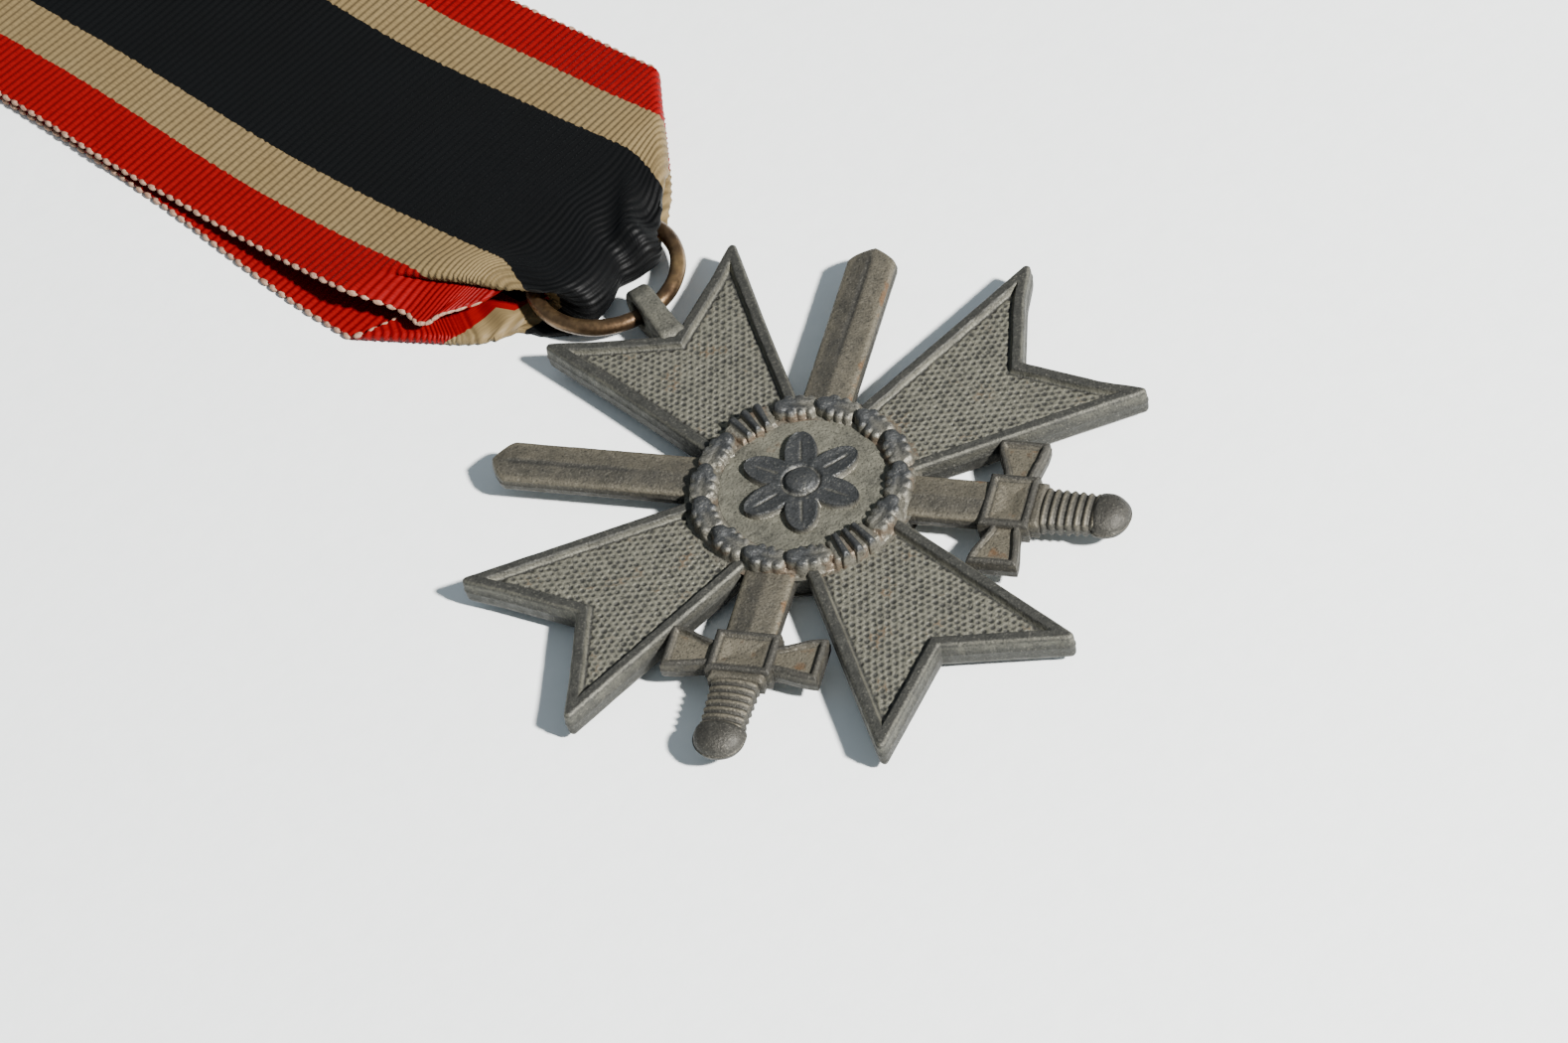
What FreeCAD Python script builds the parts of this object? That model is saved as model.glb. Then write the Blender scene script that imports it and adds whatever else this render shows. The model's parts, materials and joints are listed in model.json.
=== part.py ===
import FreeCAD, Part
import os
import Sketcher
from FreeCAD import Rotation, Vector

# A breast medal: a four-armed zinc cross with two crossed swords and an oak wreath, the wire
# ring that hangs in its eyelet, and the folded ribbon that hangs on the ring.
#
# Millimetres. The origin is the middle of the cross, on the plane that its back rests on.
# +Z points out of the front, +Y to the eyelet, the ring and the ribbon, +X to the right arm.

# Driving dimensions: alias, value, meaning.
DIMENSIONS = [
    ("arm_reach", 24.0, "centre to the two points of an arm, along the arm"),
    ("tip_half", 8.1, "arm centre line to each of its points"),
    ("notch_reach", 18.8, "centre to the bottom of the notch in an arm's end"),
    ("root_half", 2.1, "half width of an arm where its sides run out at the centre"),
    ("plate_low", 0.7, "rest plane to the back of the cross plate"),
    ("plate_thick", 2.4, "cross plate over its rims"),
    ("rim_width", 0.85, "raised rim around each arm's field"),
    ("field_start", 8.9, "centre to the inner end of an arm's sunk field"),
    ("field_depth", 0.45, "depth of the sunk fields, front and back"),
    ("hub_radius", 8.0, "solid middle of the cross plate"),
    ("seat_depth", 0.4, "depth of the seat for the front medallion"),
    ("medallion_radius", 8.2, "front medallion under the wreath"),
    ("wreath_outer", 8.4, "outer radius of both wreaths"),
    ("wreath_inner", 6.0, "inner radius of both wreaths"),
    ("wreath_rise", 0.8, "front wreath over the rims"),
    ("wreath_shoulder", 0.45, "height of the wreath's edges"),
    ("binding_half", 1.5, "half width of the bindings at the top and bottom of the front wreath"),
    ("binding_bar", 0.7, "width of one bar of a binding"),
    ("binding_pitch", 1.05, "bar to bar in a binding"),
    ("petal_middle", 2.6, "rosette centre to the middle of a petal"),
    ("petal_radius", 1.5, "rounding of a petal"),
    ("petal_rise", 0.45, "petals over the front medallion"),
    ("boss_radius", 1.5, "domed middle of the rosette"),
    ("boss_rise", 0.7, "top of the domed middle over the front medallion"),
    ("sword_level", 1.9, "rest plane to the middle plane of the swords and the ring"),
    ("blade_half", 1.85, "half width of a blade"),
    ("blade_edge", 0.3, "thickness of a blade at its edges"),
    ("blade_thick", 1.6, "thickness of a blade at its ridge, and of its tang in the hub"),
    ("blade_tip", 23.3, "centre to the point of a blade"),
    ("blade_shoulder", 22.0, "centre to where a blade starts to narrow to its point"),
    ("block_near", 14.0, "centre to the near side of the block between the guard's arms"),
    ("block_far", 17.7, "centre to the far side of that block"),
    ("block_half", 2.4, "half width of the block"),
    ("block_thick", 1.9, "thickness of the block"),
    ("guard_reach", 5.6, "sword centre line to the end of a guard arm"),
    ("guard_near", 13.95, "centre to the near corner of a guard arm's end"),
    ("guard_far", 17.5, "centre to the far corner of a guard arm's end"),
    ("guard_neck_near", 15.0, "centre to the near side of a guard arm at the block"),
    ("guard_neck_far", 17.1, "centre to the far side of a guard arm at the block"),
    ("guard_thick", 1.6, "thickness of the guard arms"),
    ("grip_half", 1.45, "half width of the grip between its ribs"),
    ("grip_thick", 1.45, "thickness of the grip between its ribs"),
    ("rib_half", 1.7, "half width of the grip's ribs"),
    ("rib_thick", 1.7, "thickness of the grip over its ribs"),
    ("rib_width", 0.34, "width of one rib along the grip"),
    ("rib_pitch", 0.62, "rib to rib along the grip"),
    ("grip_end", 21.7, "centre to where the grip meets the pommel"),
    ("pommel_middle", 22.55, "centre to the middle of the pommel's round end"),
    ("pommel_half", 1.8, "half width of the pommel"),
    ("pommel_thick", 1.9, "thickness of the pommel"),
    ("lug_width", 1.8, "eyelet thickness, along the ring's hinge line"),
    ("lug_foot", 18.0, "centre to the foot of the eyelet in its slot"),
    ("lug_half", 1.2, "half height of the eyelet's foot"),
    ("lug_radius", 1.8, "outer radius of the eyelet"),
    ("eye_middle", 23.5, "centre to the middle of the eyelet's hole"),
    ("eye_radius", 1.1, "radius of the eyelet's hole"),
    ("ring_radius", 5.6, "suspension ring, centre to the middle of its wire"),
    ("wire_radius", 0.62, "radius of the ring's wire"),
    ("ring_x", -0.6, "ring centre, to the right of the cross centre"),
    ("ring_y", 28.85, "ring centre, beyond the cross centre"),
    ("ribbon_turn", 17.0, "degrees that the ribbon leans to the left of +Y"),
    ("ribbon_left", -6.0, "left edge of the ribbon, across it from its own line through the centre"),
    ("ribbon_right", 25.0, "right edge of the ribbon, from the same line"),
    ("ribbon_end", 105.0, "cross centre to the ribbon's ends, along the ribbon"),
    ("ribbon_ply", 0.5, "thickness of one layer of the ribbon round the ring"),
    ("bend_start", 26.0, "cross centre to the bottom of the ribbon's bend"),
    ("ribbon_rise", 3.8, "height of the ribbon's bend, both layers"),
    ("crest_end", 36.0, "where the front layer starts to come down to the back layer"),
    ("slot_end", 44.5, "where the two layers meet"),
    ("slope_end", 46.0, "where the front layer reaches its flat height"),
    ("stack_thick", 1.2, "both layers lying flat on each other"),
    ("tongue_middle", 7.9, "middle of the gathered part in the ring"),
    ("tongue_half", 3.8, "half width of the gathered part"),
    ("tongue_end", 35.2, "where the ribbon starts to spread out from the ring"),
    ("flare_end", 42.5, "where the ribbon reaches its full width"),
    ("beyond", 30.0, "a length past every side of the object, for cuts that run right through"),
]

# Lines worked out from the driving dimensions.
SIDE_SLOPE = "((dims.tip_half - dims.root_half) / dims.arm_reach)"
END_SLOPE = "((dims.arm_reach - dims.notch_reach) / dims.tip_half)"
FIELD_SIDE = f"(dims.root_half - dims.rim_width * sqrt(1 + {SIDE_SLOPE} ^ 2))"
FIELD_NOTCH = f"(dims.notch_reach - dims.rim_width * sqrt(1 + {END_SLOPE} ^ 2))"
FIELD_CORNER_Y = f"(({FIELD_NOTCH} + {END_SLOPE} * {FIELD_SIDE}) / (1 - {END_SLOPE} * {SIDE_SLOPE}))"
FIELD_CORNER_X = f"({FIELD_SIDE} + {SIDE_SLOPE} * {FIELD_CORNER_Y})"
FIELD_START_X = f"({FIELD_SIDE} + {SIDE_SLOPE} * dims.field_start)"
PLATE_TOP = "(dims.plate_low + dims.plate_thick)"
SEAT_LEVEL = f"({PLATE_TOP} - dims.seat_depth)"
SWORD_LOW = "(dims.sword_level - dims.blade_thick / 2)"
BEND_MIDDLE = "(dims.bend_start + dims.ribbon_rise / 2)"

doc = FreeCAD.newDocument("medal")


def make_sheet():
    sheet = doc.addObject("Spreadsheet::Sheet", "dims")
    for row, (alias, value, meaning) in enumerate(DIMENSIONS, start=1):
        sheet.set(f"A{row}", meaning)
        sheet.set(f"B{row}", str(value))
        sheet.setAlias(f"B{row}", alias)
    doc.recompute()
    return sheet


dims = make_sheet()


def size(expression):
    """The number that an expression over the sheet gives."""
    return float(dims.evalExpression(expression))


def origin_feature(body, role):
    for feature in body.Origin.OriginFeatures:
        if feature.Role == role:
            return feature
    raise ValueError(f"{body.Label} has no {role}")


def make_body(label):
    body = doc.addObject("PartDesign::Body", label)
    body.Label = label
    return body


def make_sketch(body, name, role="XY_Plane", level=None):
    """A sketch on one of its body's own planes, raised along the plane's normal by level."""
    sketch = body.newObject("Sketcher::SketchObject", f"{body.Name}_{name}")
    sketch.AttachmentSupport = (origin_feature(body, role), [""])
    sketch.MapMode = "FlatFace"
    if level is not None:
        sketch.setExpression("AttachmentOffset.Base.z", level)
    return sketch


def bind(sketch, kind, places, expression):
    """Add one constraint and bind its value to the sheet."""
    index = sketch.addConstraint(Sketcher.Constraint(kind, *places, size(expression)))
    sketch.setExpression(f"Constraints[{index}]", expression)


def pin_point(sketch, curve, end, x, y):
    """Hold one end of a curve at (x, y) from the sketch's origin."""
    bind(sketch, "DistanceX", (-1, 1, curve, end), x)
    bind(sketch, "DistanceY", (-1, 1, curve, end), y)


def draw_polygon(sketch, corners):
    """A closed outline of straight sides, with every corner bound to the sheet."""
    first = sketch.GeometryCount
    count = len(corners)
    points = [Vector(size(x), size(y), 0) for x, y in corners]
    for index in range(count):
        line = Part.LineSegment(points[index], points[(index + 1) % count])
        sketch.addGeometry(line, False)
    for index in range(count):
        following = (index + 1) % count
        sketch.addConstraint(Sketcher.Constraint("Coincident", first + index, 2, first + following, 1))
    for index, (x, y) in enumerate(corners):
        pin_point(sketch, first + index, 1, x, y)


def draw_circle(sketch, x, y, radius):
    curve = sketch.GeometryCount
    sketch.addGeometry(Part.Circle(Vector(size(x), size(y), 0), Vector(0, 0, 1), size(radius)), False)
    pin_point(sketch, curve, 3, x, y)
    bind(sketch, "Radius", (curve,), radius)


def draw_u_turn(sketch, x, y, radius, corners):
    """A half circle that bulges to -x about (x, y), closed on its right by a line through corners.

    The line starts at the top end of the half circle and comes back to its bottom end.
    """
    arc = sketch.GeometryCount
    middle = Vector(size(x), size(y), 0)
    reach = Vector(0, size(radius), 0)
    left = middle - Vector(size(radius), 0, 0)
    sketch.addGeometry(Part.Arc(middle + reach, left, middle - reach), False)
    points = [middle + reach] + [Vector(size(a), size(b), 0) for a, b in corners] + [middle - reach]
    lines = len(points) - 1
    for index in range(lines):
        sketch.addGeometry(Part.LineSegment(points[index], points[index + 1]), False)
    for index in range(1, lines):
        sketch.addConstraint(Sketcher.Constraint("Coincident", arc + index, 2, arc + index + 1, 1))
        pin_point(sketch, arc + index + 1, 1, *corners[index - 1])
    # A counter-clockwise arc from its top over the left to its bottom.
    sketch.addConstraint(Sketcher.Constraint("Coincident", arc, 1, arc + 1, 1))
    sketch.addConstraint(Sketcher.Constraint("Coincident", arc + lines, 2, arc, 2))
    pin_point(sketch, arc, 3, x, y)
    bind(sketch, "DistanceX", (-1, 1, arc + 1, 1), x)
    bind(sketch, "DistanceY", (-1, 1, arc + 1, 1), f"{y} + {radius}")
    bind(sketch, "DistanceX", (-1, 1, arc + lines, 2), x)


def pad(body, sketch, length, both_ways=False):
    feature = body.newObject("PartDesign::Pad", f"{sketch.Name}_pad")
    feature.Profile = sketch
    feature.setExpression("Length", length)
    feature.SideType = "Symmetric" if both_ways else "One side"
    return feature


def pocket(body, sketch, length, upwards=False, both_ways=False):
    """Cut a sketch's outline into its body: down from the sketch unless upwards is set."""
    feature = body.newObject("PartDesign::Pocket", f"{sketch.Name}_pocket")
    feature.Profile = sketch
    feature.setExpression("Length", length)
    feature.Reversed = upwards
    feature.SideType = "Symmetric" if both_ways else "One side"
    return feature


def repeat_round(body, features, count):
    """Repeat features about the body's Z axis, over a full turn."""
    pattern = body.newObject("PartDesign::PolarPattern", f"{features[0].Name}_round")
    pattern.Originals = features
    pattern.Axis = (origin_feature(body, "Z_Axis"), [""])
    pattern.Angle = 360
    pattern.Occurrences = count
    body.Tip = pattern
    return pattern


def repeat_across(body, features, role):
    """Repeat features on the other side of one of the body's own planes."""
    mirror = body.newObject("PartDesign::Mirrored", f"{features[0].Name}_mirror")
    mirror.Originals = features
    mirror.MirrorPlane = (origin_feature(body, role), [""])
    body.Tip = mirror
    return mirror


def volume_after(feature):
    doc.recompute()
    return feature.Shape.Volume


def check_removed(before, after):
    """A cut that points away from the solid removes nothing and says nothing."""
    if volume_after(after) >= volume_after(before) - 1e-6:
        raise RuntimeError(f"{after.Name} removes nothing")


def make_cross_plate():
    body = make_body("cross_plate")
    hub_sketch = make_sketch(body, "hub", level="dims.plate_low")
    draw_circle(hub_sketch, "0", "0", "dims.hub_radius")
    pad(body, hub_sketch, "dims.plate_thick")

    arm_sketch = make_sketch(body, "arm", level="dims.plate_low")
    draw_polygon(arm_sketch, [
        ("-dims.root_half", "0"),
        ("dims.root_half", "0"),
        ("dims.tip_half", "dims.arm_reach"),
        ("0", "dims.notch_reach"),
        ("-dims.tip_half", "dims.arm_reach"),
    ])
    arm = pad(body, arm_sketch, "dims.plate_thick")
    arms = repeat_round(body, [arm], 4)

    # Each arm has a sunk field on the front and another on the back.
    field = [
        (f"-{FIELD_START_X}", "dims.field_start"),
        (FIELD_START_X, "dims.field_start"),
        (FIELD_CORNER_X, FIELD_CORNER_Y),
        ("0", FIELD_NOTCH),
        (f"-{FIELD_CORNER_X}", FIELD_CORNER_Y),
    ]
    front_sketch = make_sketch(body, "front_field", level=PLATE_TOP)
    draw_polygon(front_sketch, field)
    front_field = pocket(body, front_sketch, "dims.field_depth")
    back_sketch = make_sketch(body, "back_field", level="dims.plate_low")
    draw_polygon(back_sketch, field)
    back_field = pocket(body, back_sketch, "dims.field_depth", upwards=True)
    fields = repeat_round(body, [front_field, back_field], 4)
    check_removed(arms, fields)

    seat_sketch = make_sketch(body, "seat", level=PLATE_TOP)
    draw_circle(seat_sketch, "0", "0", "dims.medallion_radius")
    seat = pocket(body, seat_sketch, "dims.seat_depth")
    check_removed(fields, seat)

    # The tangs of the swords cross in two channels in the hub.
    channel_sketch = make_sketch(body, "channel", level=SWORD_LOW)
    diagonal = "0.7071067811865476"
    reach = f"dims.hub_radius * {diagonal}"
    side = f"dims.blade_half * {diagonal}"
    draw_polygon(channel_sketch, [
        (f"{reach} + {side}", f"{reach} - {side}"),
        (f"{reach} - {side}", f"{reach} + {side}"),
        (f"-{reach} - {side}", f"-{reach} + {side}"),
        (f"-{reach} + {side}", f"-{reach} - {side}"),
    ])
    channel = pocket(body, channel_sketch, "dims.beyond", upwards=True)
    channels = repeat_across(body, [channel], "YZ_Plane")
    check_removed(seat, channels)

    slot_sketch = make_sketch(body, "lug_slot", level=PLATE_TOP)
    draw_polygon(slot_sketch, [
        ("-dims.lug_width / 2", "dims.lug_foot"),
        ("dims.lug_width / 2", "dims.lug_foot"),
        ("dims.lug_width / 2", "dims.beyond"),
        ("-dims.lug_width / 2", "dims.beyond"),
    ])
    slot = pocket(body, slot_sketch, "dims.beyond")
    body.Tip = slot
    check_removed(channels, slot)
    return body


def make_sword(label, direction, lap_upwards):
    """A sword along its own X axis, point at +X, with half its thickness cut away at the crossing."""
    body = make_body(label)
    blade_sketch = make_sketch(body, "blade", "YZ_Plane", level="-dims.block_near")
    draw_polygon(blade_sketch, [
        ("dims.blade_half", "-dims.blade_edge / 2"),
        ("dims.blade_half", "dims.blade_edge / 2"),
        ("0", "dims.blade_thick / 2"),
        ("-dims.blade_half", "dims.blade_edge / 2"),
        ("-dims.blade_half", "-dims.blade_edge / 2"),
        ("0", "-dims.blade_thick / 2"),
    ])
    pad(body, blade_sketch, "dims.block_near + dims.blade_tip")

    tang_sketch = make_sketch(body, "tang")
    draw_polygon(tang_sketch, [
        ("-sqrt(dims.hub_radius ^ 2 - dims.blade_half ^ 2)", "-dims.blade_half"),
        ("sqrt(dims.hub_radius ^ 2 - dims.blade_half ^ 2)", "-dims.blade_half"),
        ("sqrt(dims.hub_radius ^ 2 - dims.blade_half ^ 2)", "dims.blade_half"),
        ("-sqrt(dims.hub_radius ^ 2 - dims.blade_half ^ 2)", "dims.blade_half"),
    ])
    pad(body, tang_sketch, "dims.blade_thick", both_ways=True)

    block_sketch = make_sketch(body, "block")
    draw_polygon(block_sketch, [
        ("-dims.block_far", "-dims.block_half"),
        ("-dims.block_near", "-dims.block_half"),
        ("-dims.block_near", "dims.block_half"),
        ("-dims.block_far", "dims.block_half"),
    ])
    pad(body, block_sketch, "dims.block_thick", both_ways=True)

    guard_sketch = make_sketch(body, "guard")
    draw_polygon(guard_sketch, [
        ("-dims.guard_neck_near", "0"),
        ("-dims.guard_neck_near", "dims.block_half"),
        ("-dims.guard_near", "dims.guard_reach"),
        ("-dims.guard_far", "dims.guard_reach"),
        ("-dims.guard_neck_far", "dims.block_half"),
        ("-dims.guard_neck_far", "0"),
    ])
    guard = pad(body, guard_sketch, "dims.guard_thick", both_ways=True)
    repeat_across(body, [guard], "XZ_Plane")

    grip_sketch = make_sketch(body, "grip")
    draw_polygon(grip_sketch, [
        ("-dims.pommel_middle", "-dims.grip_half"),
        ("-dims.block_near", "-dims.grip_half"),
        ("-dims.block_near", "dims.grip_half"),
        ("-dims.pommel_middle", "dims.grip_half"),
    ])
    pad(body, grip_sketch, "dims.grip_thick", both_ways=True)

    rib_sketch = make_sketch(body, "rib")
    draw_polygon(rib_sketch, [
        ("-dims.grip_end", "-dims.rib_half"),
        ("-dims.grip_end + dims.rib_width", "-dims.rib_half"),
        ("-dims.grip_end + dims.rib_width", "dims.rib_half"),
        ("-dims.grip_end", "dims.rib_half"),
    ])
    rib = pad(body, rib_sketch, "dims.rib_thick", both_ways=True)
    ribs = body.newObject("PartDesign::LinearPattern", f"{label}_ribs")
    ribs.Originals = [rib]
    ribs.Direction = (origin_feature(body, "X_Axis"), [""])
    ribs.Occurrences = 6
    ribs.setExpression("Length", "5 * dims.rib_pitch")
    body.Tip = ribs

    pommel_sketch = make_sketch(body, "pommel")
    draw_circle(pommel_sketch, "-dims.pommel_middle", "0", "dims.pommel_half")
    hilt = pad(body, pommel_sketch, "dims.pommel_thick", both_ways=True)

    # Two corners come off the blade's end to leave its point.
    tip_sketch = make_sketch(body, "tip")
    for side in ("", "-"):
        draw_polygon(tip_sketch, [
            ("dims.blade_tip", "0"),
            ("dims.blade_shoulder", f"{side}dims.blade_half"),
            ("dims.blade_tip", f"{side}dims.blade_half"),
        ])
    tip = pocket(body, tip_sketch, "dims.beyond", both_ways=True)
    check_removed(hilt, tip)

    lap_sketch = make_sketch(body, "lap")
    draw_polygon(lap_sketch, [
        ("-dims.blade_half", "-dims.blade_half"),
        ("dims.blade_half", "-dims.blade_half"),
        ("dims.blade_half", "dims.blade_half"),
        ("-dims.blade_half", "dims.blade_half"),
    ])
    lap = pocket(body, lap_sketch, "dims.blade_thick", upwards=lap_upwards)
    body.Tip = lap
    check_removed(tip, lap)
    body.Placement.Rotation = Rotation(Vector(0, 0, 1), direction)
    body.setExpression("Placement.Base.z", "dims.sword_level")
    return body


def revolve(body, sketch, axis="V_Axis"):
    feature = body.newObject("PartDesign::Revolution", f"{sketch.Name}_turned")
    feature.Profile = sketch
    feature.ReferenceAxis = (sketch, [axis])
    feature.Angle = 360
    return feature


def make_wreath(label, rise, with_bindings):
    """A low crowned band between the wreath's two radii, standing on z = 0 of its own frame."""
    body = make_body(label)
    band_sketch = make_sketch(body, "band", "XZ_Plane")
    quarter = "(dims.wreath_outer - dims.wreath_inner) / 4"
    draw_polygon(band_sketch, [
        ("dims.wreath_inner", "0"),
        ("dims.wreath_outer", "0"),
        ("dims.wreath_outer", "dims.wreath_shoulder"),
        (f"dims.wreath_outer - {quarter}", rise),
        (f"dims.wreath_inner + {quarter}", rise),
        ("dims.wreath_inner", "dims.wreath_shoulder"),
    ])
    band = revolve(body, band_sketch)
    body.Tip = band
    if with_bindings:
        # Three straight bars cross the band at its top and its bottom.
        middle = "(dims.wreath_outer + dims.wreath_inner) / 2"
        bar_sketch = make_sketch(body, "bars")
        for step in (-1, 0, 1):
            low = f"{middle} + {step} * dims.binding_pitch - dims.binding_bar / 2"
            high = f"{middle} + {step} * dims.binding_pitch + dims.binding_bar / 2"
            draw_polygon(bar_sketch, [
                ("-dims.binding_half", low),
                ("dims.binding_half", low),
                ("dims.binding_half", high),
                ("-dims.binding_half", high),
            ])
        bars = pad(body, bar_sketch, f"{rise} + 0.1")
        repeat_across(body, [bars], "XZ_Plane")
    return body


def make_front_wreath():
    body = make_wreath("front_wreath", "dims.wreath_rise", True)
    body.setExpression("Placement.Base.z", PLATE_TOP)
    return body


def make_back_wreath():
    """The same band, turned over, and as thick as the gap between the plate and the rest plane."""
    body = make_wreath("back_wreath", "dims.plate_low", False)
    body.Placement.Rotation = Rotation(Vector(1, 0, 0), 180)
    body.setExpression("Placement.Base.z", "dims.plate_low")
    return body


def make_disc(label, radius, thick, low):
    body = make_body(label)
    sketch = make_sketch(body, "disc")
    draw_circle(sketch, "0", "0", radius)
    pad(body, sketch, thick)
    body.setExpression("Placement.Base.z", low)
    return body


def make_rosette():
    body = make_body("rosette")
    boss_sketch = make_sketch(body, "boss", "XZ_Plane")
    draw_polygon(boss_sketch, [
        ("0", "0"),
        ("dims.boss_radius", "0"),
        ("dims.boss_radius", "dims.boss_rise / 2"),
        ("dims.boss_radius / 2", "dims.boss_rise"),
        ("0", "dims.boss_rise"),
    ])
    revolve(body, boss_sketch)
    petal_sketch = make_sketch(body, "petal")
    draw_circle(petal_sketch, "0", "dims.petal_middle", "dims.petal_radius")
    petal = pad(body, petal_sketch, "dims.petal_rise")
    repeat_round(body, [petal], 6)
    body.setExpression("Placement.Base.z", PLATE_TOP)
    return body


def make_eyelet():
    """A lug that stands on edge in a slot at the top arm's notch, drilled along X."""
    body = make_body("eyelet")
    lug_sketch = make_sketch(body, "lug", "YZ_Plane")
    draw_polygon(lug_sketch, [
        ("dims.lug_foot", "-dims.lug_half"),
        ("dims.eye_middle", "-dims.lug_half"),
        ("dims.eye_middle", "dims.lug_half"),
        ("dims.lug_foot", "dims.lug_half"),
    ])
    pad(body, lug_sketch, "dims.lug_width", both_ways=True)
    head_sketch = make_sketch(body, "head", "YZ_Plane")
    draw_circle(head_sketch, "dims.eye_middle", "0", "dims.lug_radius")
    head = pad(body, head_sketch, "dims.lug_width", both_ways=True)
    eye_sketch = make_sketch(body, "eye", "YZ_Plane")
    draw_circle(eye_sketch, "dims.eye_middle", "0", "dims.eye_radius")
    eye = pocket(body, eye_sketch, "dims.beyond", both_ways=True)
    body.Tip = eye
    check_removed(head, eye)
    body.setExpression("Placement.Base.z", "dims.sword_level")
    return body


def make_suspension_ring():
    ring = doc.addObject("Part::Torus", "suspension_ring")
    ring.Label = "suspension_ring"
    ring.setExpression("Radius1", "dims.ring_radius")
    ring.setExpression("Radius2", "dims.wire_radius")
    ring.setExpression("Placement.Base.x", "dims.ring_x")
    ring.setExpression("Placement.Base.y", "dims.ring_y")
    ring.setExpression("Placement.Base.z", "dims.sword_level")
    return ring


def make_ribbon():
    """One strip folded round the ring's far wire, in its own frame: X across it, Y along it."""
    body = make_body("ribbon")
    strip_sketch = make_sketch(body, "strip", "YZ_Plane")
    draw_u_turn(strip_sketch, BEND_MIDDLE, "dims.ribbon_rise / 2", "dims.ribbon_rise / 2", [
        ("dims.crest_end", "dims.ribbon_rise"),
        ("dims.slope_end", "dims.stack_thick"),
        ("dims.ribbon_end", "dims.stack_thick"),
        ("dims.ribbon_end", "0"),
    ])
    strip = pad(body, strip_sketch, "2 * dims.beyond", both_ways=True)

    # The gap between the layers, which the ring's wire lies in.
    gap_sketch = make_sketch(body, "gap", "YZ_Plane")
    draw_u_turn(gap_sketch, BEND_MIDDLE, "dims.ribbon_rise / 2", "(dims.ribbon_rise / 2 - dims.ribbon_ply)", [
        ("dims.crest_end", "dims.ribbon_rise - dims.ribbon_ply"),
        ("dims.slot_end", "dims.ribbon_ply"),
    ])
    gap = pocket(body, gap_sketch, "4 * dims.beyond", both_ways=True)
    check_removed(strip, gap)

    # The strip is gathered in the ring and spreads to its full width past it.
    outline_sketch = make_sketch(body, "outline")
    for side, edge in ((-1, "dims.ribbon_left"), (1, "dims.ribbon_right")):
        tongue = f"dims.tongue_middle + {side} * dims.tongue_half"
        draw_polygon(outline_sketch, [
            (tongue, "0"),
            (tongue, "dims.tongue_end"),
            (edge, "dims.flare_end"),
            (edge, "dims.ribbon_end + 1"),
            (f"{side} * (dims.beyond + 1)", "dims.ribbon_end + 1"),
            (f"{side} * (dims.beyond + 1)", "0"),
        ])
    outline = pocket(body, outline_sketch, "2 * dims.beyond", both_ways=True)
    body.Tip = outline
    check_removed(gap, outline)
    body.Placement.Rotation = Rotation(Vector(0, 0, 1), size("dims.ribbon_turn"))
    return body


def check_document(parts):
    for item in doc.Objects:
        if "Invalid" in item.State or "Error" in item.State:
            raise RuntimeError(f"{item.Label} is {item.State}")
    for item in parts:
        if item.Shape.isNull() or not item.Shape.isValid() or not item.Shape.Solids:
            raise RuntimeError(f"{item.Label} has no sound solid")
        print(f"{item.Label}: {len(item.Shape.Solids)} solid, {item.Shape.Volume:.2f} mm3")


def main():
    parts = [
        make_cross_plate(),
        make_sword("left_sword", 45, True),
        make_sword("right_sword", 135, False),
        make_disc("front_medallion", "dims.medallion_radius", "dims.seat_depth", SEAT_LEVEL),
        make_disc("back_medallion", "dims.wreath_inner", "dims.plate_low", "0"),
        make_front_wreath(),
        make_back_wreath(),
        make_rosette(),
        make_eyelet(),
        make_suspension_ring(),
        make_ribbon(),
    ]
    doc.recompute()
    check_document(parts)
    os.makedirs("parts", exist_ok=True)
    for item in parts:
        item.Shape.exportStep(f"parts/{item.Label}.step")


main()
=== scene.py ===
"""The looks of a cross medal on its ring and folded ribbon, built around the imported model.

Lengths in this script are millimetres until a mesh is made, which divides them by 1000.
"""
import json
import math

import bpy
import numpy as np
from mathutils import Matrix, Vector


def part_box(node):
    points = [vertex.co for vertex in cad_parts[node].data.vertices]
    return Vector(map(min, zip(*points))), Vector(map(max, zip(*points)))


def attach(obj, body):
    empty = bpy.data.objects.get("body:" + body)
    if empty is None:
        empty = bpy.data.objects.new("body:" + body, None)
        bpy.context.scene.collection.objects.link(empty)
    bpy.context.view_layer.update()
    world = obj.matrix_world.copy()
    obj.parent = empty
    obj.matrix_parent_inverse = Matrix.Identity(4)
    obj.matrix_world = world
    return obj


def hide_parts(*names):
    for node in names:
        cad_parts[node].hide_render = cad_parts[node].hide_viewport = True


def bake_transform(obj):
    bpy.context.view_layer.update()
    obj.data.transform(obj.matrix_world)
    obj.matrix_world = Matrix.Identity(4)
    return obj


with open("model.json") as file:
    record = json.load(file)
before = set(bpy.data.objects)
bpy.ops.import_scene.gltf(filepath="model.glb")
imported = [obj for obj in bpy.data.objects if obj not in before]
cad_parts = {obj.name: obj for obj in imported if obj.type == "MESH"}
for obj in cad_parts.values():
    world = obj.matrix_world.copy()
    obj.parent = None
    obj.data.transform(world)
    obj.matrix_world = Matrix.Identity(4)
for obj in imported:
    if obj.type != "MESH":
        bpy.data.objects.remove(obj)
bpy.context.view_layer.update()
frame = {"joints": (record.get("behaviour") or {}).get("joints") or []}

MM = 0.001


def node_range(node, axis):
    """The lowest and highest value of a CAD node along one axis, in millimetres."""
    low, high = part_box(node)
    return low[axis] / MM, high[axis] / MM


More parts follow.
